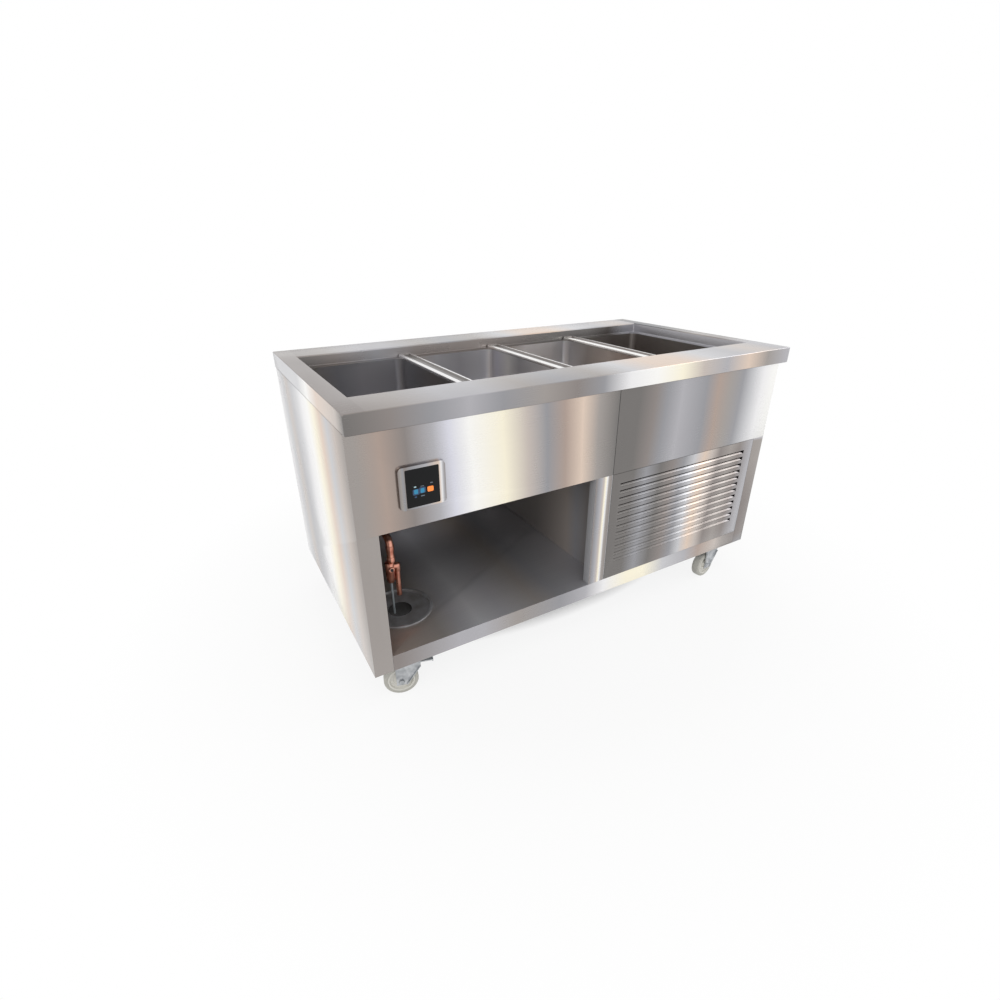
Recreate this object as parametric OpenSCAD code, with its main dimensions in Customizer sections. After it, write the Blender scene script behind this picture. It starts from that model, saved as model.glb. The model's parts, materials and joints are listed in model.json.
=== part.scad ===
// Mobile salad bar: a sheet steel counter on four swivel casters.
// Millimetres, +Z up, +X along the counter, front towards -Y.
// The origin is on the floor, under the centre of the counter top.

/* [Counter] */
// Length of the counter top
top_length = 1524; // [1510:1:1600]
// Depth of the counter top
top_depth = 838; // [820:1:900]
// Height of the body and top above the casters
body_height = 752; // [740:1:840]
// Overhang of the top past the body, left end
left_overhang = 0; // [0:1:10]
// Overhang of the top past the body, right end
right_overhang = 16; // [4:1:30]
// Overhang of the top past the body, front
front_overhang = 19; // [14:1:30]
// Overhang of the top past the body, rear
rear_overhang = 16; // [16:1:30]
// Thickness of the body and top sheet
sheet = 1.5; // [1:0.1:2]

/* [Top frame] */
// Width of the front rail
front_rail = 137; // [120:1:150]
// Width of the rear rail
rear_rail = 133; // [120:1:150]
// Width of the end rails
end_rail = 52; // [45:1:58]
// Height of the apron round the top
apron_height = 51; // [40:1:60]
// Depth of the recess from the top to its ledge
recess_depth = 34; // [25:1:40]
// Width of the foot that carries the well deck
foot_width = 12; // [8:1:14]
// Lap of the apron's bottom return over the body
return_lap = 12; // [8:1:16]

/* [Wells] */
// Inner width of a well, along the counter
well_width = 305; // [290:1:310]
// Inner length of a well, front to back
well_length = 508; // [480:1:512]
// Depth of a well below the ledge
well_depth = 180; // [120:1:200]
// Radius of a well's upright corners
well_corner = 25; // [15:1:40]
// Distance between the middles of neighbouring wells
well_pitch = 352; // [350:1:356]
// Thickness of the well sheet
well_sheet = 1.2; // [0.8:0.1:1.5]
// Width of the lip that joins a well to the deck
well_lip = 7; // [4:1:8]
// Thickness of a heater pad under a well
pad_thickness = 3; // [2:0.5:5]
// Width of bare well floor round a heater pad
pad_margin = 30; // [20:1:50]
// Thickness of foam under the heater pads
foam_under = 30; // [20:1:50]
// Thickness of the foam's outer casing
casing_sheet = 1; // [0.6:0.1:1.2]
// Gap between the recess walls and the casing
casing_inset = 2; // [1:0.5:4]

/* [Dividers] */
// Width of a lift-out divider bar
divider_width = 47; // [40:1:47]
// Height of a divider bar above the ledge
divider_height = 10; // [6:1:16]
// Length of ledge under each end of a bar
divider_rest = 26; // [15:1:28]
// Gap under a bar and round other loose pieces at rest
seat_gap = 0.3; // [0.2:0.1:0.5]

/* [Front] */
// Height of the two upper front panels
fascia_height = 268; // [250:1:300]
// Width of the left post
left_post = 55; // [40:1:70]
// Width of the right post
right_post = 52; // [40:1:70]
// Clear width of the storage opening
storage_width = 680; // [600:1:700]
// Width of the centre post
centre_post_width = 62; // [50:1:80]
// Depth of the centre post's side returns
centre_post_depth = 30; // [20:1:50]
// Height of the skirt below the storage deck
skirt_height = 52; // [45:1:60]
// Open seam between the two upper front panels
fascia_seam = 1.5; // [0.5:0.1:3]
// Seam between the skirt and the posts
skirt_seam = 0.5; // [0.3:0.1:1]
// Depth of the fold along the edge of a panel
panel_fold = 20; // [12:1:30]

/* [Louvred panel] */
// Number of louvres on a panel that is tall enough for them
louvre_count = 12; // [6:1:12]
// Distance from one louvre to the next
louvre_pitch = 25; // [22:0.1:27]
// Length of a louvre
louvre_length = 580; // [400:1:584]
// Height of a louvre's opening
louvre_height = 14; // [10:1:18]
// Depth to which a louvre's top edge leans in
louvre_bulge = 14; // [8:1:14]
// Middle of the first louvre, below the panel's top edge
louvre_drop = 42; // [36:1:60]
// Plain margin at the left of the louvres
louvre_margin = 34; // [25:1:50]
// Gap round the lift-off panel
panel_gap = 1; // [0.5:0.1:2]
// Depth of the lift-off panel's edge fold
louvre_fold = 15; // [10:1:20]

/* [Control] */
// Width of the control bezel
bezel_width = 124; // [110:1:140]
// Height of the control bezel
bezel_height = 114; // [110:1:130]
// Corner radius of the control bezel
bezel_corner = 12; // [6:1:20]
// How far the bezel stands out of the panel
bezel_proud = 6; // [3:0.5:10]
// Left edge of the bezel from the body's left end
bezel_left = 115; // [80:1:200]
// Top edge of the bezel below the apron
bezel_drop = 103; // [80:1:115]
// Width of the screen glass
glass_width = 89; // [80:1:96]
// Height of the screen glass
glass_height = 101; // [90:1:104]
// Thickness of the screen glass
glass_thickness = 3; // [2:0.5:4]
// Top edge of the glass below the bezel's top
glass_drop = 8; // [5:0.5:9]
// Depth of the control housing behind the panel
control_depth = 60; // [40:1:80]

/* [Drain] */
// Outer diameter of the drain pipe
pipe_diameter = 22; // [18:1:24]
// Wall of the drain pipe
pipe_wall = 1.5; // [1:0.1:2]
// Centre line radius of the pipe bends
pipe_bend = 24; // [20:1:30]
// Middle of the drain drop from the body's left end
drop_from_left = 139; // [125:1:160]
// Middle of the drain drop behind the body's front
drop_behind_front = 199; // [180:1:220]
// Height of the pipe under the wells, below the casing
manifold_drop = 36; // [30:1:60]
// Height of the low leg above the storage deck
leg_height = 249; // [230:1:270]
// Diameter of the valve body
valve_diameter = 27; // [26:1:30]
// Length of the valve body
valve_length = 60; // [50:1:70]
// Bottom of the valve body above the storage deck
valve_height = 112; // [90:1:120]
// Diameter of the overflow tube beside the valve
overflow_diameter = 16; // [12:1:18]
// Bottom of the overflow tube above the storage deck
overflow_height = 50; // [30:1:70]
// Diameter of the thin condensate tube
condensate_diameter = 7; // [5:1:9]
// Outer radius of the dish in the storage deck
dish_radius = 102; // [90:1:106]
// Depth of the dish below the storage deck
dish_depth = 6; // [4:1:14]
// Height of the rolled rim above the storage deck
rim_height = 4; // [3:0.5:6]
// Outer diameter of the dish's tailpiece
tail_diameter = 76; // [60:1:80]
// How far the tailpiece hangs below the base
tail_drop = 15; // [8:1:20]

/* [Casters] */
// Overall height of a caster
caster_height = 133; // [130:1:150]
// Diameter of a wheel
wheel_diameter = 102; // [96:1:104]
// Width of a tyre
tyre_width = 30; // [24:1:32]
// Distance of the swivel from the body's end
caster_inset_x = 122; // [110:1:135]
// Distance of the swivel from the body's front or back
caster_inset_y = 45; // [40:1:50]
// Trail of the wheel behind the swivel
caster_trail = 35; // [28:1:38]
// How far the left casters stand turned at rest, in degrees
left_caster_yaw = -15; // [-45:1:45]
// How far the right casters stand turned at rest, in degrees
right_caster_yaw = 8; // [-45:1:45]

/* [Cooling unit] */
// Width of the condenser core
condenser_width = 300; // [250:1:320]
// Height of the condenser core
condenser_height = 260; // [240:1:280]
// Depth of the condenser core
condenser_depth = 44; // [30:1:60]
// Radius of the fan blade's sweep
fan_radius = 108; // [90:1:110]
// Radius of the compressor shell
compressor_radius = 75; // [60:1:85]
// Height of the compressor shell
compressor_height = 190; // [150:1:220]

/* [Hidden] */
$fn = 64;

// Finishes
steel = "#c9cccf";
bright_steel = "#dfe1e3";
galvanised = "#a9adb0";
copper = "#c9784a";
foam = "#e8dcae";
black = "#16181a";
dark = "#3a3d40";
pale_grey = "#d9dad8";
tread_grey = "#8d8f90";

// Small sizes shared by many pieces
overrun = 1;
fit = 0.05;
clear = 0.3;

// Levels
z_base = caster_height;
z_deck = z_base + skirt_height;
z_top = z_base + body_height;
z_ledge = z_top - recess_depth;
z_foot = z_ledge - 2 * sheet;
z_apron = z_top - apron_height;
z_fascia = z_apron - fascia_height;

// Outline of the top, the body and the recess
top_left = -top_length / 2;
top_right = top_length / 2;
top_front = -top_depth / 2;
top_back = top_depth / 2;
body_left = top_left + left_overhang;
body_right = top_right - right_overhang;
body_front = top_front + front_overhang;
body_back = top_back - rear_overhang;
recess_left = top_left + end_rail;
recess_right = top_right - end_rail;
recess_front = top_front + front_rail;
recess_back = top_back - rear_rail;
inside_left = body_left + sheet;
inside_right = body_right - sheet;
inside_front = body_front + sheet;
inside_back = body_back - sheet;

// Uprights along the front
x_storage = body_left + left_post;
x_post = x_storage + storage_width;
x_partition = x_post + centre_post_width;
x_machine = x_partition + sheet;
x_right_post = body_right - right_post;

// Wells and what lies round them
well_count = 4;
well_middle_y = (recess_front + recess_back) / 2;
function well_x(k) = (k - (well_count + 1) / 2) * well_pitch;
z_well_top = z_ledge - sheet;
z_well_floor = z_ledge - well_depth;
z_well_bottom = z_well_floor - well_sheet;
z_pad = z_well_bottom - pad_thickness;
z_foam = z_pad - foam_under;
z_casing = z_foam - casing_sheet;
casing_left = recess_left + casing_inset;
casing_right = recess_right - casing_inset;
casing_front = recess_front + casing_inset;
casing_back = recess_back - casing_inset;

// Serpentine of cooling tube behind each well
coil_radius = 4.8;
coil_runs = 5;
coil_turn = 14;
coil_margin = 36;
coil_first_drop = 26;
coil_span = well_width - 2 * coil_margin;
coil_y = well_middle_y + well_length / 2 + well_sheet + clear + coil_radius;
z_coil = z_well_top - coil_first_drop - coil_turn;
coil_fall = (coil_runs - 1) * 2 * coil_turn;

// Drain pipework
pipe_radius = pipe_diameter / 2;
drain_tail_radius = 12;
drain_tail_wall = 2;
strainer_radius = 24;
strainer_thickness = 2;
strainer_hole_radius = 2.5;
strainer_hole_ring = 6;
strainer_holes = 6;
socket_radius = 15;
socket_depth = 14;
x_drop = body_left + drop_from_left;
y_drop = body_front + drop_behind_front;
z_manifold = z_casing - manifold_drop;
z_socket_top = z_manifold + pipe_radius + socket_depth;
z_leg = z_deck + leg_height;
z_valve = z_deck + valve_height;
valve_shift = 6;
x_valve = x_drop - valve_shift;
overflow_gap = 0.5;
overflow_shift = (valve_diameter + overflow_diameter) / 2 + overflow_gap;
x_overflow = x_valve + overflow_shift;
overflow_wall = 1;
z_branch_share = 0.72;
z_branch = z_valve + z_branch_share * valve_length;
branch_radius = 10;
branch_socket = 18;
stem_share = 0.7;
z_stem = z_valve + stem_share * valve_length;
stem_radius = 5;
stem_boss_radius = 8;
stem_boss_length = 6;
stem_length = 7;
stem_slot = 1.6;
stub_radius = 9;
stub_length = 9;
condensate_reach = 14;
dish_shift = 12;
x_dish = x_drop + dish_shift;
y_dish = y_drop;
tail_radius = tail_diameter / 2;
rim_width = 9;

// Front panels
louvre_left = x_machine + panel_gap;
louvre_right = x_right_post - panel_gap;
louvre_bottom = z_deck + seat_gap;
louvre_top = z_fascia - panel_gap;
louvre_first = louvre_top - louvre_drop;
louvre_room = louvre_first - louvre_bottom - louvre_drop / 2;
louvre_rows = min(louvre_count, floor(louvre_room / louvre_pitch) + 1);
bezel_top = z_apron - bezel_drop;
bezel_x = body_left + bezel_left + bezel_width / 2;
bezel_z = bezel_top - bezel_height / 2;
glass_z = bezel_top - glass_drop - glass_height / 2;
glass_setback = 1;
bezel_step = 3;
cutout_margin = 6;
housing_margin = 3;
housing_corner = 8;

// Base frame
frame_wall = 2;
frame_flange = 40;
cross_flange = 30;
corner_plate_x = 112;
corner_plate_y = 45;
cross_shares = [0.24, 0.53, 0.76];

// Casters
wheel_radius = wheel_diameter / 2;
hub_radius = 40;
hub_width = 35;
hub_boss_radius = 14;
hub_web = 12;
hub_rim = 6;
tyre_shoulder = 5;
axle_radius = 5;
leg_gap = 0.5;
leg_sheet = 2.5;
leg_inner = hub_width / 2 + leg_gap;
leg_outer = leg_inner + leg_sheet;
crown_sheet = 4;
plate_sheet = 4;
race_height = 8;
race_radius = 27;
race_step = 1.7;
kingpin_radius = 8;
plate_x = 92;
plate_y = 76;
plate_corner = 8;
bolt_spacing_x = 72;
bolt_spacing_y = 56;
bolt_radius = 4;
bolt_head_radius = 7;
bolt_head_height = 5;
z_plate = z_base - plate_sheet;
z_race = z_plate - race_height;
z_crown = z_race - crown_sheet;
leg_front = 24;
leg_back = 50;
leg_toe = 16;
leg_heel = 15;
leg_drop = 13;
leg_waist = 22;
leg_lip = 4;
nut_radius = 9;
nut_height = 6;
brake_count = 2;
brake_pin_x = 2;
brake_pin_drop = 17;
brake_pin_radius = 3;
cam_radius = 7;
cam_offset = 6;
cam_angle = 300;
cam_half_width = 16.5;
pedal_reach = 60;
pedal_half_width = 17;
pedal_sheet = 4;
pedal_neck = 24;
pedal_rise = 7;
pedal_lip = 8;
x_left_caster = body_left + caster_inset_x;
x_right_caster = body_right - caster_inset_x;
y_front_caster = body_front + caster_inset_y;
y_back_caster = body_back - caster_inset_y;
caster_places = [
    [x_left_caster, y_front_caster],
    [x_right_caster, y_front_caster],
    [x_left_caster, y_back_caster],
    [x_right_caster, y_back_caster]
];

// Cooling unit
machine_middle = (x_machine + x_right_post) / 2;
tray_width = 560;
tray_depth = 640;
tray_edge = 16;
tray_sheet = 3;
tray_left = machine_middle - tray_width / 2;
tray_front = -tray_depth / 2;
z_tray = z_deck + tray_sheet;
condenser_setback = 12;
condenser_left = tray_left + 2 * condenser_setback;
condenser_front = tray_front + condenser_setback;
condenser_back = condenser_front + condenser_depth;
condenser_middle = condenser_left + condenser_width / 2;
z_condenser_middle = z_tray + condenser_height / 2;
fin_pitch = 10;
fin_gap = 4;
fin_depth = 6;
end_plate = 2;
hairpin_radius = 4.8;
hairpin_turn = 14;
hairpins = 4;
shroud_sheet = 2;
shroud_ring_depth = 30;
shroud_ring_wall = 2;
shroud_clearance = 6;
shroud_back = condenser_back + shroud_sheet;
blade_count = 5;
blade_thickness = 2;
blade_width = 58;
blade_pitch = 24;
fan_hub_radius = 24;
fan_hub_depth = 22;
fan_setback = 8;
fan_bore = 4;
motor_radius = 42;
motor_length = 70;
motor_gap = 6;
motor_post_width = 36;
motor_foot = 70;
fan_front = shroud_back + fan_setback;
motor_front = fan_front + fan_hub_depth + motor_gap;
compressor_from_edge = 120;
compressor_x = tray_left + tray_width - compressor_from_edge;
compressor_y = compressor_radius;
compressor_feet = 12;
compressor_foot_reach = 24;
compressor_foot_sheet = 4;
compressor_waist = 3;
terminal_size = 46;
terminal_depth = 26;
z_compressor = z_tray + compressor_feet;
z_compressor_top = z_compressor + compressor_height;
drier_radius = 20;
drier_length = 100;
drier_cone = 16;
drier_from_edge = 90;
drier_x = tray_left + drier_from_edge;
drier_y = 110;
z_drier = z_tray + compressor_feet + drier_radius;
line_radius = 4.8;
feed_radius = 3.2;
line_standoff = 12;
line_turn = 24;
line_rise = 20;
hot_line_offset = 20;
hot_line_share = 0.75;
suction_share = 0.25;
feed_gap = 4;
x_coil_start = well_x(1) - coil_span / 2;
x_coil_end = well_x(well_count) + coil_span / 2;
x_suction = (x_coil_end + recess_right) / 2;
z_feed = z_coil - coil_fall - coil_radius - feed_gap - feed_radius;
junction_width = 110;
junction_depth = 55;
junction_height = 130;
junction_from_right = 150;
junction_rise = 90;
gland_radius = 12;
gland_nut = 6;
gland_dome = 8;
gland_bore = 5;
gland_mouth = 8;
x_junction = body_right - junction_from_right;
z_junction = z_deck + junction_rise;
z_gland = z_junction + junction_height / 2;

// A block between two corners
module block(low, high) {
    translate(low) cube(high - low);
}

// A rectangular ring of a given height; outer and inner are [x0, y0, x1, y1]
module ring_block(outer, inner, z0, z1) {
    difference() {
        block([outer[0], outer[1], z0], [outer[2], outer[3], z1]);
        block([inner[0], inner[1], z0 - overrun], [inner[2], inner[3], z1 + overrun]);
    }
}

// A rectangle with round corners, centred
module round_rectangle(width, depth, radius) {
    square([width - 2 * radius, depth], center = true);
    square([width, depth - 2 * radius], center = true);
    for (x = [-1, 1]) {
        for (y = [-1, 1]) {
            translate([x * (width / 2 - radius), y * (depth / 2 - radius)]) circle(radius);
        }
    }
}

// A tube that stands upright
module upright_tube(radius, wall, z0, z1) {
    difference() {
        translate([0, 0, z0]) cylinder(r = radius, h = z1 - z0);
        translate([0, 0, z0 - overrun]) cylinder(r = radius - wall, h = z1 - z0 + 2 * overrun);
    }
}

// A quarter bend in the XY plane, from +X round to +Y
module quarter_bend(turn, radius, wall) {
    rotate_extrude(angle = 90) translate([turn, 0]) difference() {
        circle(radius);
        circle(radius - wall);
    }
}

// A solid round rod along a list of points, with ball corners
module rod_path(points, radius) {
    for (i = [0 : len(points) - 2]) {
        step = points[i + 1] - points[i];
        reach = norm(step);
        translate(points[i]) rotate([0, acos(step[2] / reach), atan2(step[1], step[0])])
            cylinder(r = radius, h = reach);
    }
    for (i = [1 : len(points) - 2]) {
        translate(points[i]) sphere(radius);
    }
}

// Counter top

module top_frame() {
    outer = [top_left, top_front, top_right, top_back];
    recess = [recess_left, recess_front, recess_right, recess_back];
    color(bright_steel) {
        // Flat rails round the recess
        ring_block(outer, recess, z_top - sheet, z_top);
        // Apron
        ring_block(outer, outer + sheet * [1, 1, -1, -1], z_apron, z_top);
        // Return that laps over the body
        ring_block(outer, [body_left + return_lap, body_front + return_lap,
            body_right - return_lap, body_back - return_lap], z_apron, z_apron + sheet);
        // Recess walls
        ring_block(recess + sheet * [-1, -1, 1, 1], recess, z_foot, z_top);
        // Foot under the well deck
        ring_block(recess + sheet * [-1, -1, 1, 1], recess + foot_width * [1, 1, -1, -1],
            z_foot, z_foot + sheet);
    }
}

module well_deck() {
    color(bright_steel) difference() {
        block([recess_left, recess_front, z_well_top], [recess_right, recess_back, z_ledge]);
        for (k = [1 : well_count]) {
            translate([well_x(k), well_middle_y, z_well_top - overrun])
                linear_extrude(sheet + 2 * overrun) round_rectangle(well_width, well_length, well_corner);
        }
    }
}

module well(k) {
    outer_width = well_width + 2 * well_sheet;
    outer_length = well_length + 2 * well_sheet;
    color(steel) translate([well_x(k), well_middle_y, 0]) difference() {
        union() {
            translate([0, 0, z_well_bottom]) linear_extrude(z_well_top - z_well_bottom)
                round_rectangle(outer_width, outer_length, well_corner + well_sheet);
            translate([0, 0, z_well_top - well_sheet]) linear_extrude(well_sheet)
                round_rectangle(outer_width + 2 * well_lip, outer_length + 2 * well_lip,
                    well_corner + well_sheet + well_lip);
        }
        translate([0, 0, z_well_floor]) linear_extrude(z_well_top - z_well_floor + overrun)
            round_rectangle(well_width, well_length, well_corner);
        translate([0, 0, z_well_bottom - overrun])
            cylinder(r = drain_tail_radius + clear, h = well_sheet + 2 * overrun);
    }
}

module insulation() {
    cavity = 2 * (well_sheet + clear);
    color(foam) difference() {
        block([casing_left + casing_sheet, casing_front + casing_sheet, z_foam],
            [casing_right - casing_sheet, casing_back - casing_sheet, z_foot]);
        for (k = [1 : well_count]) {
            translate([well_x(k), well_middle_y, 0]) {
                translate([0, 0, z_pad]) linear_extrude(z_foot - z_pad + overrun)
                    round_rectangle(well_width + cavity, well_length + cavity, well_corner + cavity / 2);
                translate([0, 0, z_foam - overrun])
                    cylinder(r = drain_tail_radius + clear, h = foam_under + 2 * overrun);
            }
        }
        // Slot behind the wells for the cooling tube
        block([well_x(1) - well_width / 2, coil_y - coil_radius - 2 * clear, z_feed - feed_radius - clear],
            [casing_right, coil_y + coil_radius + clear, z_foot + overrun]);
        line_holes(z_feed);
    }
}

// Holes through foam and casing for the feed and suction lines
module line_holes(z) {
    reach = z - z_casing + overrun;
    translate([drier_x, coil_y, z_casing - overrun]) cylinder(r = feed_radius + clear, h = reach);
    translate([x_suction, coil_y, z_casing - overrun]) cylinder(r = line_radius + clear, h = reach);
}

module insulation_casing() {
    color(galvanised) difference() {
        block([casing_left, casing_front, z_casing], [casing_right, casing_back, z_foot]);
        block([casing_left + casing_sheet, casing_front + casing_sheet, z_foam],
            [casing_right - casing_sheet, casing_back - casing_sheet, z_foot + overrun]);
        for (k = [1 : well_count]) {
            translate([well_x(k), well_middle_y, z_casing - overrun])
                cylinder(r = drain_tail_radius + clear, h = casing_sheet + 2 * overrun);
        }
        line_holes(z_foam + overrun);
    }
}

// One upright serpentine, from its upper left end to its lower right end
module serpentine() {
    for (i = [0 : coil_runs - 1]) {
        translate([-coil_span / 2, 0, -2 * coil_turn * i]) rotate([0, 90, 0])
            cylinder(r = coil_radius, h = coil_span);
    }
    for (i = [0 : coil_runs - 2]) {
        side = i % 2 == 0 ? 1 : -1;
        translate([side * coil_span / 2, 0, -2 * coil_turn * (i + 0.5)])
            rotate([90, side > 0 ? -90 : 90, 0]) rotate_extrude(angle = 180)
                translate([coil_turn, 0]) circle(coil_radius);
    }
}

module cold_coils() {
    link = well_pitch - coil_span;
    color(copper) {
        for (k = [1 : well_count]) {
            translate([well_x(k), coil_y, z_coil]) serpentine();
        }
        for (k = [1 : well_count - 1]) {
            x = well_x(k) + coil_span / 2;
            rod_path([[x, coil_y, z_coil - coil_fall], [x + link / 2, coil_y, z_coil - coil_fall],
                [x + link / 2, coil_y, z_coil], [x + link, coil_y, z_coil]], coil_radius);
        }
    }
}

module heater_pads() {
    color("darkorange") for (k = [1 : well_count]) {
        translate([well_x(k), well_middle_y, z_pad]) difference() {
            linear_extrude(pad_thickness) round_rectangle(well_width - 2 * pad_margin,
                well_length - 2 * pad_margin, well_corner);
            translate([0, 0, -overrun])
                cylinder(r = drain_tail_radius + clear, h = pad_thickness + 2 * overrun);
        }
    }
}

module divider(k) {
    length = well_length + 2 * divider_rest;
    foot = z_ledge + seat_gap;
    color(bright_steel) translate([(well_x(k) + well_x(k + 1)) / 2, well_middle_y, 0]) difference() {
        block([-divider_width / 2, -length / 2, foot],
            [divider_width / 2, length / 2, z_ledge + divider_height]);
        block([-divider_width / 2 + sheet, -length / 2 + sheet, foot - overrun],
            [divider_width / 2 - sheet, length / 2 - sheet, z_ledge + divider_height - sheet]);
    }
}

// Drain

module drain_fittings() {
    inner = drain_tail_radius - drain_tail_wall;
    z_tail = z_socket_top - socket_depth;
    color(steel) for (k = [1 : well_count]) {
        translate([well_x(k), well_middle_y, 0]) difference() {
            union() {
                translate([0, 0, z_well_floor]) cylinder(r = strainer_radius, h = strainer_thickness);
                translate([0, 0, z_tail]) cylinder(r = drain_tail_radius, h = z_well_floor - z_tail);
            }
            translate([0, 0, z_tail - overrun]) cylinder(r = inner, h = z_well_floor - z_tail + overrun);
            for (i = [1 : strainer_holes]) {
                rotate([0, 0, i * 360 / strainer_holes])
                    translate([strainer_hole_ring, 0, z_well_floor - overrun])
                    cylinder(r = strainer_hole_radius, h = strainer_thickness + 2 * overrun);
            }
        }
    }
}

// The straight pipe under the wells with its upright sockets
module manifold_run() {
    first = x_drop + pipe_bend;
    last = well_x(well_count) + 2 * socket_radius;
    difference() {
        union() {
            translate([first, well_middle_y, z_manifold]) rotate([0, 90, 0])
                cylinder(r = pipe_radius, h = last - first);
            for (k = [1 : well_count]) {
                translate([well_x(k), well_middle_y, z_manifold])
                    cylinder(r = socket_radius, h = z_socket_top - z_manifold);
            }
        }
        translate([first - overrun, well_middle_y, z_manifold]) rotate([0, 90, 0])
            cylinder(r = pipe_radius - pipe_wall, h = last - first + overrun - pipe_wall);
        for (k = [1 : well_count]) {
            translate([well_x(k), well_middle_y, z_socket_top - socket_depth])
                cylinder(r = drain_tail_radius + fit, h = socket_depth + overrun);
            translate([well_x(k), well_middle_y, z_manifold])
                cylinder(r = drain_tail_radius - drain_tail_wall, h = z_socket_top - z_manifold);
        }
    }
}

module drain_manifold() {
    z_drop = z_valve + valve_length;
    color(copper) {
        manifold_run();
        // Down behind, forward along the low leg, then down to the valve
        translate([x_drop + pipe_bend, well_middle_y, z_manifold - pipe_bend]) rotate([90, 0, 180])
            quarter_bend(pipe_bend, pipe_radius, pipe_wall);
        translate([x_drop, well_middle_y, 0])
            upright_tube(pipe_radius, pipe_wall, z_leg + pipe_bend, z_manifold - pipe_bend);
        translate([x_drop, well_middle_y - pipe_bend, z_leg + pipe_bend]) rotate([0, -90, 0])
            rotate([0, 0, 90]) quarter_bend(pipe_bend, pipe_radius, pipe_wall);
        translate([x_drop, y_drop + pipe_bend, z_leg]) rotate([-90, 0, 0])
            upright_tube(pipe_radius, pipe_wall, 0, well_middle_y - y_drop - 2 * pipe_bend);
        translate([x_drop, y_drop + pipe_bend, z_leg - pipe_bend]) rotate([0, -90, 0])
            rotate([0, 0, -90]) quarter_bend(pipe_bend, pipe_radius, pipe_wall);
        translate([x_drop, y_drop, 0]) upright_tube(pipe_radius, pipe_wall, z_drop, z_leg - pipe_bend);
    }
}

module drain_valve() {
    body = valve_diameter / 2;
    color(copper) difference() {
        union() {
            translate([x_valve, y_drop, z_valve]) cylinder(r = body, h = valve_length);
            // Side branch that feeds the overflow tube
            translate([x_valve, y_drop, z_branch]) rotate([0, 90, 0])
                cylinder(r = branch_radius, h = overflow_shift);
            translate([x_overflow, y_drop, z_branch]) sphere(branch_radius);
            translate([x_overflow, y_drop, z_branch - branch_socket])
                cylinder(r = branch_radius, h = branch_socket);
            // Boss for the stem, and the stub under the body
            translate([x_valve, y_drop, z_stem]) rotate([90, 0, 0])
                cylinder(r = stem_boss_radius, h = body + stem_boss_length);
            translate([x_valve, y_drop, z_valve - stub_length]) cylinder(r = stub_radius, h = stub_length);
        }
        translate([x_valve, y_drop - body + stem_length, z_stem]) rotate([90, 0, 0])
            cylinder(r = stem_radius + fit, h = stem_length + stem_boss_length + overrun);
        translate([x_valve, y_drop, z_valve - stub_length - overrun])
            cylinder(r = condensate_diameter / 2 + fit, h = stub_length + overrun);
        // Seat of the overflow tube
        translate([x_overflow, y_drop, z_branch - branch_socket - overrun])
            cylinder(r = overflow_diameter / 2 + fit, h = branch_socket + overrun);
    }
}

module valve_stem() {
    body = valve_diameter / 2;
    face = y_drop - body - stem_boss_length - seat_gap;
    inner = y_drop - body + stem_length - clear;
    color(dark) difference() {
        translate([x_valve, inner, z_stem]) rotate([90, 0, 0])
            cylinder(r = stem_radius, h = inner - face + stem_slot);
        block([x_valve - stem_radius - overrun, face - stem_slot - overrun, z_stem - stem_slot / 2],
            [x_valve + stem_radius + overrun, face, z_stem + stem_slot / 2]);
    }
}

module overflow_tube() {
    color(copper) translate([x_overflow, y_drop, 0])
        upright_tube(overflow_diameter / 2, overflow_wall, z_deck + overflow_height, z_branch);
}

module condensate_tube() {
    color("#9aa3a8") translate([x_valve, y_drop, 0])
        upright_tube(condensate_diameter / 2, overflow_wall, z_deck - condensate_reach, z_valve);
}

module drain_dish() {
    bowl = dish_radius - rim_width;
    roll = (rim_width + sheet) / 2;
    throat = tail_radius - sheet;
    z_bowl = z_deck - dish_depth;
    z_tail = z_base - tail_drop;
    color(steel) translate([x_dish, y_dish, 0]) {
        // Spun bowl with its tailpiece
        rotate_extrude() polygon([
            [bowl, z_deck], [bowl, z_deck + sheet], [bowl - sheet, z_deck + sheet],
            [bowl - sheet, z_bowl + sheet], [throat, z_bowl], [throat, z_tail],
            [tail_radius, z_tail], [tail_radius, z_bowl - sheet], [bowl, z_bowl - sheet / 2]
        ]);
        // Rolled rim on the deck
        rotate_extrude() translate([0, z_deck]) intersection() {
            translate([bowl - sheet + roll, 0]) circle(roll);
            translate([bowl - sheet, 0]) square([2 * roll, rim_height]);
        }
    }
}

// Body panels

module left_panel() {
    color(steel) {
        block([body_left, inside_front, z_base], [inside_left, body_back, z_apron]);
        block([body_left, body_front, z_base], [x_storage, inside_front, z_fascia]);
        block([body_left, inside_back - sheet, z_base], [body_left + panel_fold, inside_back, z_apron]);
    }
}

module right_panel() {
    color(steel) {
        block([inside_right, inside_front, z_base], [body_right, body_back, z_apron]);
        block([x_right_post, body_front, z_base], [body_right, inside_front, z_fascia]);
        block([body_right - panel_fold, inside_back - sheet, z_base], [body_right, inside_back, z_apron]);
    }
}

module back_panel() {
    color(steel) difference() {
        block([inside_left, inside_back, z_base], [inside_right, body_back, z_apron]);
        translate([x_junction, inside_back - overrun, z_gland]) rotate([-90, 0, 0])
            cylinder(r = gland_radius + clear, h = sheet + 2 * overrun);
    }
}

// A front panel with folded edges at its top and bottom
module fascia(x0, x1) {
    block([x0, body_front, z_fascia], [x1, inside_front, z_apron]);
    block([max(x0, inside_left), body_front, z_fascia],
        [min(x1, inside_right), body_front + panel_fold, z_fascia + sheet]);
    block([max(x0, inside_left), body_front, z_apron - sheet],
        [min(x1, inside_right), body_front + panel_fold, z_apron]);
}

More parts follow.
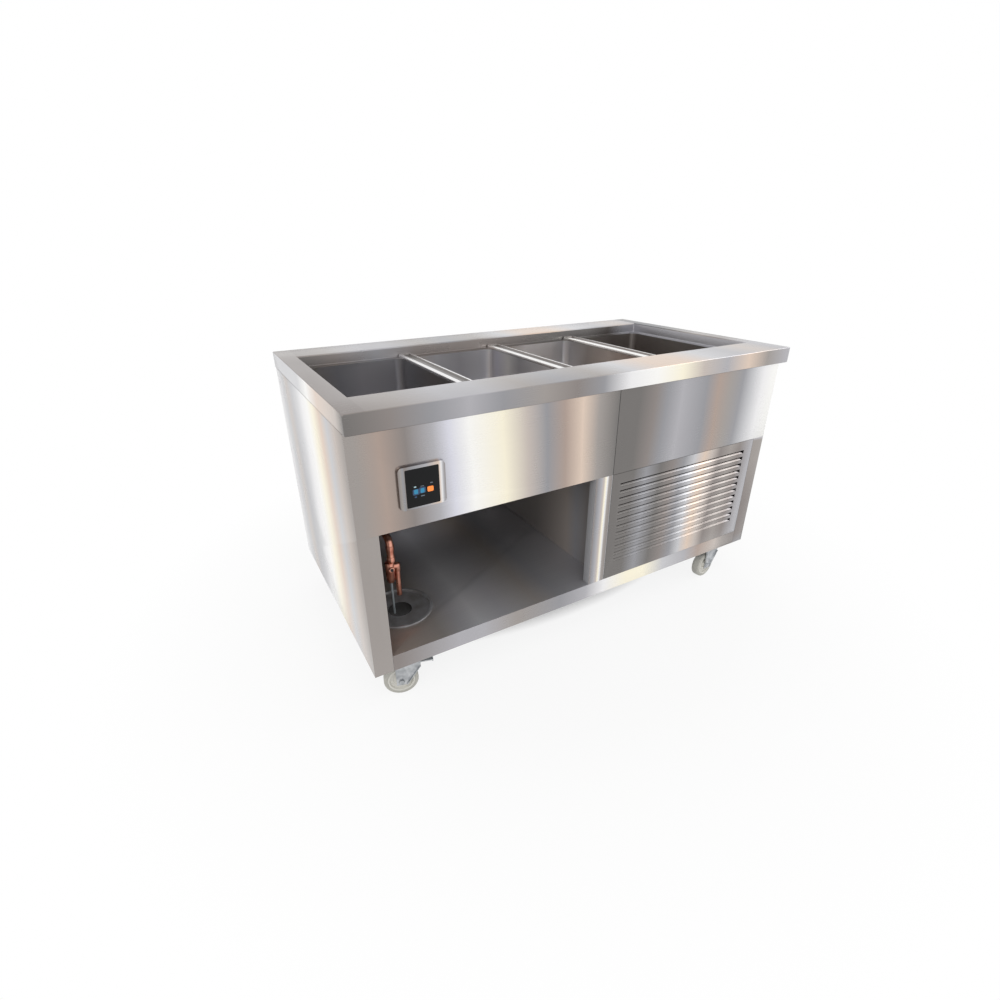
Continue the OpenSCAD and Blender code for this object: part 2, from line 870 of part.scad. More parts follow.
module left_fascia() {
    color(steel) difference() {
        fascia(body_left, x_machine);
        translate([bezel_x, body_front - overrun, bezel_z]) rotate([-90, 0, 0])
            linear_extrude(sheet + 2 * overrun)
                round_rectangle(bezel_width - 2 * cutout_margin, bezel_height - 2 * cutout_margin,
                    bezel_corner / 2);
    }
}

module right_fascia() {
    color(steel) fascia(x_machine + fascia_seam, body_right);
}

module centre_post() {
    color(bright_steel) {
        block([x_post, body_front, z_deck], [x_partition, inside_front, z_fascia]);
        block([x_post, body_front, z_deck], [x_post + sheet, body_front + centre_post_depth, z_fascia]);
        block([x_partition - sheet, body_front, z_deck],
            [x_partition, body_front + centre_post_depth, z_fascia]);
    }
}

module partition() {
    color(steel) difference() {
        union() {
            block([x_partition, body_front, z_deck], [x_machine, inside_back, z_fascia]);
            block([x_partition, body_front + panel_fold, z_fascia], [x_machine, inside_back, z_casing]);
        }
        // Hole for the drain manifold
        translate([x_partition - overrun, well_middle_y, z_manifold]) rotate([0, 90, 0])
            cylinder(r = pipe_radius + clear, h = sheet + 2 * overrun);
    }
}

module base_deck() {
    color(steel) difference() {
        union() {
            block([inside_left, inside_front, z_deck - sheet], [inside_right, inside_back - sheet, z_deck]);
            block([x_storage + skirt_seam, body_front, z_base],
                [x_right_post - skirt_seam, inside_front, z_deck]);
        }
        translate([x_dish, y_dish, z_deck - sheet - overrun])
            cylinder(r = dish_radius - rim_width + clear, h = sheet + 2 * overrun);
    }
}

module base_frame() {
    outer = [inside_left, inside_front, inside_right, inside_back - sheet];
    z_under = z_deck - sheet;
    span = outer[2] - outer[0];
    color(galvanised) {
        // Rim channel: web, upper flange and lower flange
        ring_block(outer, outer + frame_wall * [1, 1, -1, -1], z_base, z_under);
        ring_block(outer, outer + frame_flange * [1, 1, -1, -1], z_under - frame_wall, z_under);
        ring_block(outer, outer + frame_flange * [1, 1, -1, -1], z_base, z_base + frame_wall);
        // Cross channels
        for (share = cross_shares) {
            x = outer[0] + share * span;
            block([x, outer[1], z_base], [x + frame_wall, outer[3], z_under]);
            block([x, outer[1], z_under - frame_wall], [x + cross_flange, outer[3], z_under]);
            block([x, outer[1], z_base], [x + cross_flange, outer[3], z_base + frame_wall]);
        }
        // Corner plates that carry the casters
        for (place = caster_places) {
            front = place[1] < 0;
            near = front ? outer[1] : place[1] - corner_plate_y;
            far = front ? place[1] + corner_plate_y : outer[3];
            left = place[0] < 0;
            from = left ? outer[0] : place[0] - corner_plate_x / 2;
            to = left ? place[0] + corner_plate_x / 2 : outer[2];
            difference() {
                block([from, near, z_base], [to, far, z_base + frame_wall]);
                translate([place[0], place[1], z_base - overrun])
                    cylinder(r = kingpin_radius + clear, h = frame_wall + 2 * overrun);
            }
        }
    }
}

module control_bezel() {
    color(bright_steel) translate([bezel_x, body_front, bezel_z]) rotate([90, 0, 0]) difference() {
        linear_extrude(bezel_proud) round_rectangle(bezel_width, bezel_height, bezel_corner);
        translate([0, glass_z - bezel_z, bezel_proud - glass_setback - glass_thickness])
            linear_extrude(glass_thickness + glass_setback + overrun)
                round_rectangle(glass_width, glass_height, bezel_corner / 4);
        translate([0, glass_z - bezel_z, -overrun]) linear_extrude(bezel_proud)
            round_rectangle(glass_width - 2 * bezel_step, glass_height - 2 * bezel_step, bezel_corner / 4);
    }
}

module control_glass() {
    color(black) translate([bezel_x, body_front - bezel_proud + glass_setback, glass_z]) rotate([-90, 0, 0])
        linear_extrude(glass_thickness)
            round_rectangle(glass_width - fit, glass_height - fit, bezel_corner / 4);
}

module control_box() {
    width = bezel_width + 2 * housing_margin;
    height = bezel_height + 2 * housing_margin;
    color(dark) translate([bezel_x, inside_front, bezel_z]) rotate([-90, 0, 0]) difference() {
        linear_extrude(control_depth) round_rectangle(width, height, housing_corner);
        translate([0, 0, -overrun]) linear_extrude(control_depth - sheet + overrun)
            round_rectangle(width - 2 * sheet, height - 2 * sheet, housing_corner - sheet);
    }
}

// Section across a louvre: a flap that leans in from its lower edge and stays open above
module flap_section() {
    wall = sheet * norm([louvre_bulge, louvre_height]) / louvre_height;
    polygon([[0, 0], [wall, 0], [louvre_bulge, louvre_height], [louvre_bulge - wall, louvre_height]]);
}

module louvre_panel() {
    first = louvre_left + louvre_margin;
    color(steel) {
        difference() {
            block([louvre_left, body_front, louvre_bottom], [louvre_right, inside_front, louvre_top]);
            for (i = [0 : louvre_rows - 1]) {
                low = louvre_first - i * louvre_pitch - louvre_height / 2;
                block([first, body_front - overrun, low + sheet],
                    [first + louvre_length, inside_front + overrun, low + louvre_height]);
            }
        }
        for (i = [0 : louvre_rows - 1]) {
            low = louvre_first - i * louvre_pitch - louvre_height / 2;
            translate([first, body_front, low]) rotate([90, 0, 90])
                linear_extrude(louvre_length) flap_section();
        }
        // Folds round the back of the edge
        difference() {
            block([louvre_left, body_front, louvre_bottom],
                [louvre_right, body_front + louvre_fold, louvre_top]);
            block([louvre_left + sheet, body_front - overrun, louvre_bottom + sheet],
                [louvre_right - sheet, body_front + louvre_fold + overrun, louvre_top - sheet]);
        }
    }
}

// Cooling unit behind the louvres

module unit_tray() {
    color(galvanised) difference() {
        block([tray_left, tray_front, z_deck],
            [tray_left + tray_width, tray_front + tray_depth, z_deck + tray_edge]);
        block([tray_left + tray_sheet, tray_front + tray_sheet, z_tray],
            [tray_left + tray_width - tray_sheet, tray_front + tray_depth - tray_sheet,
                z_deck + tray_edge + overrun]);
    }
}

module condenser_coil() {
    fins = floor(condenser_width / fin_pitch) - 1;
    color("#b8bcc0") {
        difference() {
            block([condenser_left, condenser_front, z_tray],
                [condenser_left + condenser_width, condenser_back, z_tray + condenser_height]);
            for (i = [1 : fins]) {
                x = condenser_left + i * fin_pitch;
                block([x, condenser_front - overrun, z_tray + end_plate],
                    [x + fin_gap, condenser_front + fin_depth, z_tray + condenser_height - end_plate]);
            }
        }
    }
    color(copper) for (i = [0 : hairpins - 1]) {
        z = z_tray + condenser_height * (i + 0.5) / hairpins;
        translate([condenser_left + condenser_width, (condenser_front + condenser_back) / 2, z])
            rotate([90, -90, 0]) rotate_extrude(angle = 180)
                translate([hairpin_turn, 0]) circle(hairpin_radius);
    }
}

module fan_shroud() {
    ring = fan_radius + shroud_clearance;
    color(dark) translate([condenser_middle, condenser_back, z_condenser_middle])
        rotate([-90, 0, 0]) difference() {
        union() {
            translate([0, 0, shroud_sheet / 2])
                cube([condenser_width, condenser_height, shroud_sheet], center = true);
            cylinder(r = ring + shroud_ring_wall, h = shroud_ring_depth);
        }
        translate([0, 0, -overrun]) cylinder(r = ring, h = shroud_ring_depth + 2 * overrun);
    }
}

module fan_blade() {
    color(dark) translate([condenser_middle, fan_front, z_condenser_middle])
        rotate([-90, 0, 0]) difference() {
        union() {
            cylinder(r = fan_hub_radius, h = fan_hub_depth);
            intersection() {
                translate([0, 0, -fan_hub_depth]) cylinder(r = fan_radius, h = 3 * fan_hub_depth);
                for (i = [1 : blade_count]) {
                    rotate([0, 0, i * 360 / blade_count]) translate([0, 0, fan_hub_depth / 2])
                        rotate([blade_pitch, 0, 0]) translate([0, -blade_width / 2, -blade_thickness / 2])
                            cube([fan_radius + overrun, blade_width, blade_thickness]);
                }
            }
        }
        translate([0, 0, -overrun]) cylinder(r = fan_bore + fit, h = fan_hub_depth + 2 * overrun);
    }
}

module fan_motor() {
    color(dark) {
        translate([condenser_middle, motor_front, z_condenser_middle]) rotate([-90, 0, 0]) {
            cylinder(r = motor_radius, h = motor_length);
            translate([0, 0, -motor_gap - fan_hub_depth])
                cylinder(r = fan_bore, h = motor_gap + fan_hub_depth);
        }
        // Post and foot that stand on the tray
        block([condenser_middle - motor_post_width / 2, motor_front + motor_gap, z_tray],
            [condenser_middle + motor_post_width / 2, motor_front + motor_length - motor_gap,
                z_condenser_middle]);
        block([condenser_middle - motor_foot, motor_front, z_tray],
            [condenser_middle + motor_foot, motor_front + motor_length, z_tray + tray_sheet]);
    }
}

module compressor() {
    dome = compressor_radius / 3;
    half = compressor_height / 2;
    color(black) {
        translate([compressor_x, compressor_y, z_compressor]) {
            // Two pressed halves with a welded waist
            intersection() {
                cylinder(r = compressor_radius, h = compressor_height);
                translate([0, 0, half]) sphere(norm([compressor_radius, half - dome]));
            }
            translate([0, 0, half - compressor_waist])
                cylinder(r = compressor_radius + compressor_waist, h = 2 * compressor_waist);
            // Terminal cover
            block([-terminal_size / 2, -compressor_radius - terminal_depth, half],
                [terminal_size / 2, 0, half + terminal_size]);
        }
        // Feet on rubber
        for (x = [-1, 1]) {
            for (y = [-1, 1]) {
                foot = [compressor_x + x * (compressor_radius + compressor_foot_reach) / sqrt(2),
                    compressor_y + y * (compressor_radius + compressor_foot_reach) / sqrt(2)];
                translate([foot[0], foot[1], z_tray]) cylinder(r = compressor_feet, h = compressor_feet);
            }
        }
        translate([compressor_x, compressor_y, z_compressor]) difference() {
            half_foot = (compressor_radius + compressor_foot_reach) / sqrt(2) + compressor_feet;
            block([-half_foot, -half_foot, 0], [half_foot, half_foot, compressor_foot_sheet]);
            translate([0, 0, -overrun])
                cylinder(r = compressor_radius / 2, h = compressor_foot_sheet + 2 * overrun);
        }
    }
}

module filter_drier() {
    color(copper) translate([drier_x, drier_y, z_drier]) rotate([-90, 0, 0]) {
        cylinder(r = drier_radius, h = drier_length);
        translate([0, 0, drier_length]) cylinder(r1 = drier_radius, r2 = line_radius, h = drier_cone);
        translate([0, 0, -drier_cone]) cylinder(r1 = line_radius, r2 = drier_radius, h = drier_cone);
    }
    // Saddle that stands on the tray
    color(copper) difference() {
        block([drier_x - drier_radius, drier_y + drier_radius, z_tray],
            [drier_x + drier_radius, drier_y + drier_length - drier_radius, z_drier]);
        translate([drier_x, drier_y, z_drier]) rotate([-90, 0, 0])
            cylinder(r = drier_radius, h = drier_length);
    }
}

module refrigerant_lines() {
    condenser_y = (condenser_front + condenser_back) / 2;
    hot_y = compressor_y - hot_line_offset;
    z_over = z_compressor_top + line_rise;
    z_hot = z_tray + hot_line_share * condenser_height;
    x_liquid = condenser_left - line_standoff;
    y_liquid = drier_y - drier_cone - line_turn;
    x_feed = x_coil_start - line_standoff;
    z_end = z_coil - coil_fall;
    z_suction = z_compressor + suction_share * compressor_height;
    color(copper) {
        // Hot gas from the compressor to the condenser
        rod_path([[compressor_x, hot_y, z_compressor_top], [compressor_x, hot_y, z_over],
            [compressor_x, condenser_y, z_over], [compressor_x, condenser_y, z_hot],
            [condenser_left + condenser_width, condenser_y, z_hot]], line_radius);
        // Liquid from the condenser to the drier
        rod_path([[condenser_left, condenser_y, z_drier], [x_liquid, condenser_y, z_drier],
            [x_liquid, y_liquid, z_drier], [drier_x, y_liquid, z_drier],
            [drier_x, drier_y - drier_cone, z_drier]], line_radius);
        // Feed from the drier up into the foam and along to the first well
        rod_path([[drier_x, drier_y + drier_length + drier_cone, z_drier], [drier_x, coil_y, z_drier],
            [drier_x, coil_y, z_feed], [x_feed, coil_y, z_feed], [x_feed, coil_y, z_coil],
            [x_coil_start, coil_y, z_coil]], feed_radius);
        // Suction from the last well back to the compressor
        rod_path([[x_coil_end, coil_y, z_end], [x_suction, coil_y, z_end], [x_suction, coil_y, z_suction],
            [compressor_x, coil_y, z_suction],
            [compressor_x, compressor_y + compressor_radius, z_suction]], line_radius);
    }
}

module junction_box() {
    color("#8f9396") difference() {
        block([x_junction - junction_width / 2, inside_back - sheet - junction_depth, z_junction],
            [x_junction + junction_width / 2, inside_back, z_junction + junction_height]);
        block([x_junction - junction_width / 2 + sheet, inside_back - junction_depth, z_junction + sheet],
            [x_junction + junction_width / 2 - sheet, inside_back + overrun,
                z_junction + junction_height - sheet]);
    }
}

module cord_gland() {
    color(black) translate([x_junction, inside_back, z_gland]) rotate([-90, 0, 0]) difference() {
        union() {
            translate([0, 0, -gland_nut]) cylinder(r = gland_radius, h = gland_nut + sheet);
            translate([0, 0, sheet]) cylinder(r = gland_radius + gland_nut, h = gland_nut, $fn = 6);
            translate([0, 0, sheet + gland_nut])
                cylinder(r1 = gland_radius, r2 = gland_mouth, h = gland_dome);
        }
        translate([0, 0, -gland_nut - overrun])
            cylinder(r = gland_bore, h = 2 * gland_nut + gland_dome + sheet + 2 * overrun);
    }
}

// Casters

// What follows stands at swivel k, turned with its fork
module at_caster(k) {
    place = caster_places[k - 1];
    yaw = place[0] < 0 ? left_caster_yaw : right_caster_yaw;
    translate([place[0], place[1], 0]) rotate([0, 0, yaw]) children();
}

module caster_plates() {
    color(galvanised) for (place = caster_places) {
        translate([place[0], place[1], 0]) difference() {
            union() {
                translate([0, 0, z_plate]) linear_extrude(plate_sheet)
                    round_rectangle(plate_x, plate_y, plate_corner);
                translate([0, 0, z_race + race_step + clear])
                    cylinder(r = race_radius, h = z_plate - z_race - race_step - clear);
            }
            translate([0, 0, z_race])
                cylinder(r = kingpin_radius + fit, h = race_height + plate_sheet + overrun);
            for (x = [-1, 1]) {
                for (y = [-1, 1]) {
                    translate([x * bolt_spacing_x / 2, y * bolt_spacing_y / 2, z_plate - overrun])
                        cylinder(r = bolt_radius + fit, h = plate_sheet + 2 * overrun);
                }
            }
        }
    }
}

module caster_bolts() {
    color(bright_steel) for (place = caster_places) {
        for (x = [-1, 1]) {
            for (y = [-1, 1]) {
                translate([place[0] + x * bolt_spacing_x / 2, place[1] + y * bolt_spacing_y / 2, 0]) {
                    translate([0, 0, z_plate - bolt_head_height])
                        cylinder(r = bolt_head_radius, h = bolt_head_height, $fn = 6);
                    translate([0, 0, z_plate]) cylinder(r = bolt_radius, h = plate_sheet);
                }
            }
        }
    }
}

// One fork leg in the XZ plane, seen from -Y
module leg_outline() {
    polygon([
        [leg_front, z_race], [leg_front, z_race - leg_waist],
        [leg_toe - caster_trail, wheel_radius - leg_drop],
        [-leg_heel - caster_trail, wheel_radius - leg_drop],
        [-leg_heel - caster_trail, wheel_radius + leg_drop], [-leg_back, z_race]
    ]);
}

// A lip pressed outwards along one edge of a leg, between two points [x, z]
module leg_edge_lip(from, to, y) {
    run = to - from;
    translate([from[0], y, from[1]]) rotate([0, -atan2(run[1], run[0]), 0])
        cube([norm(run), leg_lip, leg_sheet]);
}

module caster_fork(k) {
    front_top = [leg_front, z_race - leg_waist];
    front_foot = [leg_toe - caster_trail, wheel_radius - leg_drop];
    back_foot = [-leg_heel - caster_trail, wheel_radius + leg_drop];
    back_top = [-leg_back, z_race];
    color(galvanised) at_caster(k) {
        for (side = [-1, 1]) {
            translate([0, side > 0 ? leg_outer : -leg_inner, 0]) rotate([90, 0, 0])
                linear_extrude(leg_sheet) leg_outline();
            y_lip = side > 0 ? leg_outer : -leg_outer - leg_lip;
            leg_edge_lip(front_foot, front_top, y_lip);
            leg_edge_lip(back_top, back_foot, y_lip);
            // Head or nut of the axle
            translate([-caster_trail, side > 0 ? leg_outer + nut_height : -leg_outer, wheel_radius])
                rotate([90, 0, 0]) cylinder(r = nut_radius, h = nut_height, $fn = 6);
        }
        // Crown, swivel race and kingpin
        block([-leg_back, -leg_outer, z_crown], [leg_front, leg_outer, z_race]);
        translate([0, 0, z_crown]) cylinder(r = race_radius, h = crown_sheet + race_step);
        translate([0, 0, z_race]) cylinder(r = kingpin_radius, h = race_height + plate_sheet);
        translate([-caster_trail, leg_outer, wheel_radius]) rotate([90, 0, 0])
            cylinder(r = axle_radius, h = 2 * leg_outer);
        // Pin of the brake
        if (k <= brake_count) {
            translate([brake_pin_x, leg_outer, z_race - brake_pin_drop]) rotate([90, 0, 0])
                cylinder(r = brake_pin_radius, h = 2 * leg_outer);
        }
    }
}

module caster_tyre(k) {
    half = tyre_width / 2;
    color(tread_grey) at_caster(k) translate([-caster_trail, 0, wheel_radius]) rotate([90, 0, 0])
        rotate_extrude() polygon([
            [hub_radius, -half], [wheel_radius - tyre_shoulder, -half], [wheel_radius, -half + tyre_shoulder],
            [wheel_radius, half - tyre_shoulder], [wheel_radius - tyre_shoulder, half], [hub_radius, half]
        ]);
}

module caster_hub(k) {
    half = tyre_width / 2;
    bore = axle_radius + fit;
    color(pale_grey) at_caster(k) translate([-caster_trail, 0, wheel_radius]) rotate([90, 0, 0])
        rotate_extrude() polygon([
            [bore, -hub_width / 2], [hub_boss_radius, -hub_width / 2], [hub_boss_radius, -hub_web / 2],
            [hub_radius - hub_rim, -hub_web / 2], [hub_radius - hub_rim, -half], [hub_radius, -half],
            [hub_radius, half], [hub_radius - hub_rim, half], [hub_radius - hub_rim, hub_web / 2],
            [hub_boss_radius, hub_web / 2], [hub_boss_radius, hub_width / 2], [bore, hub_width / 2]
        ]);
}

module brake_pedal(k) {
    color(galvanised) at_caster(k) translate([brake_pin_x, 0, z_race - brake_pin_drop]) difference() {
        union() {
            // Cam between the legs, off centre on its pin
            translate([0, cam_half_width, 0]) rotate([90, 0, 0]) {
                cylinder(r = cam_radius, h = 2 * cam_half_width);
                translate([cam_offset * cos(cam_angle), cam_offset * sin(cam_angle), 0])
                    cylinder(r = cam_radius, h = 2 * cam_half_width);
            }
            // Neck and pedal plate
            block([0, -cam_half_width, pedal_rise - pedal_sheet], [pedal_neck, cam_half_width, pedal_rise]);
            block([pedal_neck, -pedal_half_width, pedal_rise - pedal_sheet],
                [pedal_reach, pedal_half_width, pedal_rise]);
            block([pedal_reach - pedal_sheet, -pedal_half_width, pedal_rise - pedal_lip],
                [pedal_reach, pedal_half_width, pedal_rise]);
        }
        translate([0, cam_half_width + overrun, 0]) rotate([90, 0, 0])
            cylinder(r = brake_pin_radius + fit, h = 2 * cam_half_width + 2 * overrun);
    }
}

top_frame();
well_deck();
well(1);  // well_1
well(2);  // well_2
well(3);  // well_3
well(4);  // well_4
insulation();
insulation_casing();
cold_coils();
heater_pads();
drain_fittings();
drain_manifold();
drain_valve();
valve_stem();
overflow_tube();
condensate_tube();
drain_dish();
left_panel();
right_panel();
back_panel();
left_fascia();
right_fascia();
centre_post();
partition();
base_deck();
base_frame();
control_bezel();
control_glass();
control_box();
louvre_panel();
unit_tray();
compressor();
condenser_coil();
fan_shroud();
fan_motor();
fan_blade();
filter_drier();
refrigerant_lines();
junction_box();
cord_gland();
divider(1);  // divider_1
divider(2);  // divider_2
divider(3);  // divider_3
caster_plates();
caster_bolts();
caster_fork(1);  // caster_fork_1
caster_fork(2);  // caster_fork_2
caster_fork(3);  // caster_fork_3
caster_fork(4);  // caster_fork_4
caster_tyre(1);  // caster_tyre_1
caster_tyre(2);  // caster_tyre_2
caster_tyre(3);  // caster_tyre_3
caster_tyre(4);  // caster_tyre_4
caster_hub(1);  // caster_hub_1
caster_hub(2);  // caster_hub_2
caster_hub(3);  // caster_hub_3
caster_hub(4);  // caster_hub_4
brake_pedal(1);  // brake_pedal_1
brake_pedal(2);  // brake_pedal_2
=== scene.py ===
"""Mobile salad bar: fine pieces, finishes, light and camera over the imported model.

Everything is in metres in the model's own frame: +X along the counter, front towards -Y, +Z up.
"""

import json
import math

import bmesh
import bpy
from bpy.props import FloatProperty, FloatVectorProperty, IntProperty, PointerProperty
from mathutils import Matrix, Vector

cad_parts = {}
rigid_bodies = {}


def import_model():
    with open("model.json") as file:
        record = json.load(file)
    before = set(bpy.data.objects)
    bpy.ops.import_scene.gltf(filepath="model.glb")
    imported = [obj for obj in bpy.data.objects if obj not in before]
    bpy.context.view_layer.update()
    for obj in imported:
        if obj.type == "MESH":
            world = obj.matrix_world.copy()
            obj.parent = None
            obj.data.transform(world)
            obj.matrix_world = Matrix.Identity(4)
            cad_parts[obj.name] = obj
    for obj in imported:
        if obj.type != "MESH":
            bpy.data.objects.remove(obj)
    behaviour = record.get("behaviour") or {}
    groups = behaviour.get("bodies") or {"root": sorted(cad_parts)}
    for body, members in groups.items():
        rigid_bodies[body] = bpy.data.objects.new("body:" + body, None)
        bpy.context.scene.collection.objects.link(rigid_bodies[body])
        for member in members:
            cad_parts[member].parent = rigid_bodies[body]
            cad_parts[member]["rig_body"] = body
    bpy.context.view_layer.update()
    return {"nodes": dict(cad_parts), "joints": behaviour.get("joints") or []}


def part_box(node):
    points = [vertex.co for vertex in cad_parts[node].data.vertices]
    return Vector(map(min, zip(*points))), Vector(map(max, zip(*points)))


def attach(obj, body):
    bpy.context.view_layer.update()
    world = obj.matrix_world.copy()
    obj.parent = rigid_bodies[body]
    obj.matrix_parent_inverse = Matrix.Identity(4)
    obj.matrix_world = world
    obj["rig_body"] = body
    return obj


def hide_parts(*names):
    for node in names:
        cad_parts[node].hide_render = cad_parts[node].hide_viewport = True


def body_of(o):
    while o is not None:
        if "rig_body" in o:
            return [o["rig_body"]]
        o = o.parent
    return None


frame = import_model()

bl_info = {
    "name": "Mobile Salad Bar",
    "version": (1, 0, 0),
    "blender": (4, 5, 0),
    "location": "View3D > Sidebar > Salad Bar",
    "description": "Fine pieces, finishes, light and camera of a steel salad bar on casters",
    "category": "Add Mesh",
}

# Painted reflections: tints that polished steel takes from a room, greys, warm bands and near whites,
# painted into the sheets' colour, the darkest ones also as painted shade
PAINTED_REFLECTION_TINTS = {
    "soot": "#3c3b39",
    "umber": "#5b5653",
    "iron": "#696a6e",
    "slate": "#7b7876",
    "smoke": "#918a87",
    "steel": "#9b9b9f",
    "stone": "#a49e9a",
    "taupe": "#b09f95",
    "silver": "#b4b3b7",
    "putty": "#c8beb7",
    "mist": "#cacacd",
    "peach": "#dfcbbb",
    "lilac": "#dcdce6",
    "pearl": "#efeeef",
    "cream": "#fbf4de",
    "white": "#fbfaf7",
}

# Where each painted reflection tint lies on a sheet, in metres along it
LEFT_FASCIA_TINTS = (
    (-0.740, "stone"), (-0.681, "taupe"), (-0.617, "smoke"), (-0.550, "silver"), (-0.506, "lilac"),
    (-0.447, "white"), (-0.345, "cream"), (-0.272, "putty"), (-0.213, "steel"), (-0.155, "taupe"),
    (-0.096, "peach"), (-0.038, "stone"), (0.030, "slate"),
)
RIGHT_FASCIA_TINTS = (
    (0.045, "slate"), (0.107, "slate"), (0.170, "smoke"), (0.221, "steel"), (0.285, "silver"),
    (0.392, "steel"), (0.449, "taupe"), (0.506, "stone"), (0.563, "steel"), (0.620, "mist"),
    (0.677, "pearl"), (0.735, "white"),
)
LOUVRE_TINTS = (
    (0.045, "slate"), (0.120, "slate"), (0.177, "steel"), (0.240, "slate"), (0.294, "smoke"),
    (0.345, "steel"), (0.390, "mist"), (0.437, "peach"), (0.473, "putty"), (0.515, "smoke"),
    (0.571, "stone"), (0.625, "smoke"), (0.690, "silver"),
)
SKIRT_TINTS = (
    (-0.700, "smoke"), (-0.514, "silver"), (-0.422, "silver"), (-0.300, "stone"), (-0.144, "steel"),
    (-0.040, "silver"), (0.041, "pearl"), (0.150, "cream"), (0.226, "cream"), (0.319, "mist"),
    (0.430, "silver"), (0.504, "taupe"), (0.597, "putty"), (0.645, "stone"), (0.690, "smoke"),
)
# Painted reflection bands on the storage deck, lightest near x = -0.43
DECK_TINTS = (
    (-0.700, "taupe"), (-0.560, "stone"), (-0.490, "silver"), (-0.431, "mist"), (-0.340, "silver"),
    (-0.220, "stone"), (-0.150, "steel"), (0.020, "silver"), (0.700, "silver"),
)
APRON_TINTS = (
    (-0.755, "slate"), (-0.654, "smoke"), (-0.554, "steel"), (-0.454, "silver"), (-0.353, "steel"),
    (-0.230, "stone"), (-0.130, "smoke"), (-0.045, "steel"), (0.047, "pearl"), (0.148, "white"),
    (0.255, "cream"), (0.348, "putty"), (0.449, "silver"), (0.549, "peach"), (0.649, "stone"),
    (0.750, "silver"),
)
APRON_END_TINTS = (
    (-0.415, "slate"), (-0.350, "putty"), (-0.178, "peach"), (-0.062, "white"), (0.052, "mist"),
    (0.400, "mist"),
)
RAIL_TINTS = (
    (-0.740, "smoke"), (-0.626, "stone"), (-0.512, "silver"), (-0.398, "silver"), (-0.284, "stone"),
    (-0.170, "steel"), (-0.056, "stone"), (0.056, "mist"), (0.170, "peach"), (0.284, "peach"),
    (0.398, "mist"), (0.512, "silver"), (0.626, "putty"), (0.740, "silver"),
)
LEFT_RAIL_TINTS = ((-0.419, "smoke"), (0.200, "smoke"), (0.419, "stone"))
RIGHT_RAIL_TINTS = (
    (-0.380, "silver"), (-0.270, "silver"), (-0.160, "smoke"), (-0.050, "stone"), (0.060, "slate"),
    (0.170, "iron"), (0.280, "iron"), (0.390, "slate"),
)
# Painted shade: the recess walls and the ledge are painted darker greys and umber, lighter again at the
# right end
RECESS_SHADE_TINTS = (
    (-0.710, "slate"), (-0.600, "smoke"), (-0.450, "steel"), (-0.300, "smoke"), (0.000, "smoke"),
    (0.250, "slate"), (0.450, "slate"), (0.560, "umber"), (0.650, "steel"), (0.710, "silver"),
)
END_PANEL_TINTS = (
    (-0.400, "stone"), (-0.319, "putty"), (-0.248, "mist"), (-0.177, "peach"), (-0.106, "cream"),
    (-0.035, "white"), (0.035, "pearl"), (0.106, "mist"), (0.177, "silver"), (0.248, "putty"),
    (0.319, "mist"), (0.390, "pearl"),
)
PARTITION_TINTS = (
    (-0.400, "mist"), (-0.350, "mist"), (-0.310, "stone"), (-0.240, "silver"), (-0.190, "putty"),
    (0.000, "stone"), (0.400, "stone"),
)
# Painted reflections on the far walls of the wells, with painted shade in their darker greys
WELL_TINTS = (
    (-0.680, "stone"), (-0.600, "steel"), (-0.520, "silver"), (-0.376, "silver"), (-0.328, "putty"),
    (-0.240, "mist"), (-0.150, "silver"), (-0.070, "mist"), (-0.024, "pearl"), (0.024, "putty"),
    (0.120, "pearl"), (0.250, "pearl"), (0.328, "mist"), (0.376, "stone"), (0.480, "stone"),
    (0.560, "smoke"), (0.680, "stone"),
)
# Painted reflections and shade on the right wall of each well, from front to back
WELL_SIDE_TINTS = (
    ((-0.250, "smoke"), (0.000, "smoke"), (0.150, "steel"), (0.250, "silver")),
    ((-0.250, "putty"), (-0.100, "pearl"), (0.050, "mist"), (0.120, "white"), (0.200, "lilac"),
     (0.250, "mist")),
    ((-0.250, "slate"), (-0.120, "taupe"), (0.000, "putty"), (0.120, "stone"), (0.250, "mist")),
    ((-0.250, "smoke"), (0.000, "stone"), (0.250, "smoke")),
)
# Painted reflection bands on the centre post, a painted highlight on the divider bars, painted shade in
# their channels, and painted reflections on the front edges of the end panels, where the right one's places
# are heights
POST_TINTS = (
    (-0.027, "smoke"), (-0.018, "steel"), (-0.006, "silver"), (0.003, "putty"), (0.009, "cream"),
    (0.016, "pearl"), (0.022, "stone"), (0.035, "smoke"),
)
DIVIDER_HIGHLIGHT_TINTS = ((-0.5, "pearl"), (0.5, "white"))
CHANNEL_SHADE_TINTS = ((-0.5, "slate"), (0.5, "smoke"))
LEFT_EDGE_TINTS = ((-0.42, "stone"), (0.42, "stone"))
RIGHT_EDGE_TINTS = (
    (0.133, "steel"), (0.185, "smoke"), (0.320, "smoke"), (0.480, "stone"), (0.560, "stone"),
    (0.580, "lilac"), (0.834, "white"),
)
# Where each painted reflection and highlight tint lies on the bezel, as a share of its width
BEZEL_TINTS = (
    (0.0, "smoke"), (0.05, "stone"), (0.10, "steel"), (0.14, "smoke"), (0.3, "steel"), (0.6, "silver"),
    (0.86, "peach"), (0.91, "pearl"), (0.95, "silver"), (1.0, "smoke"),
)
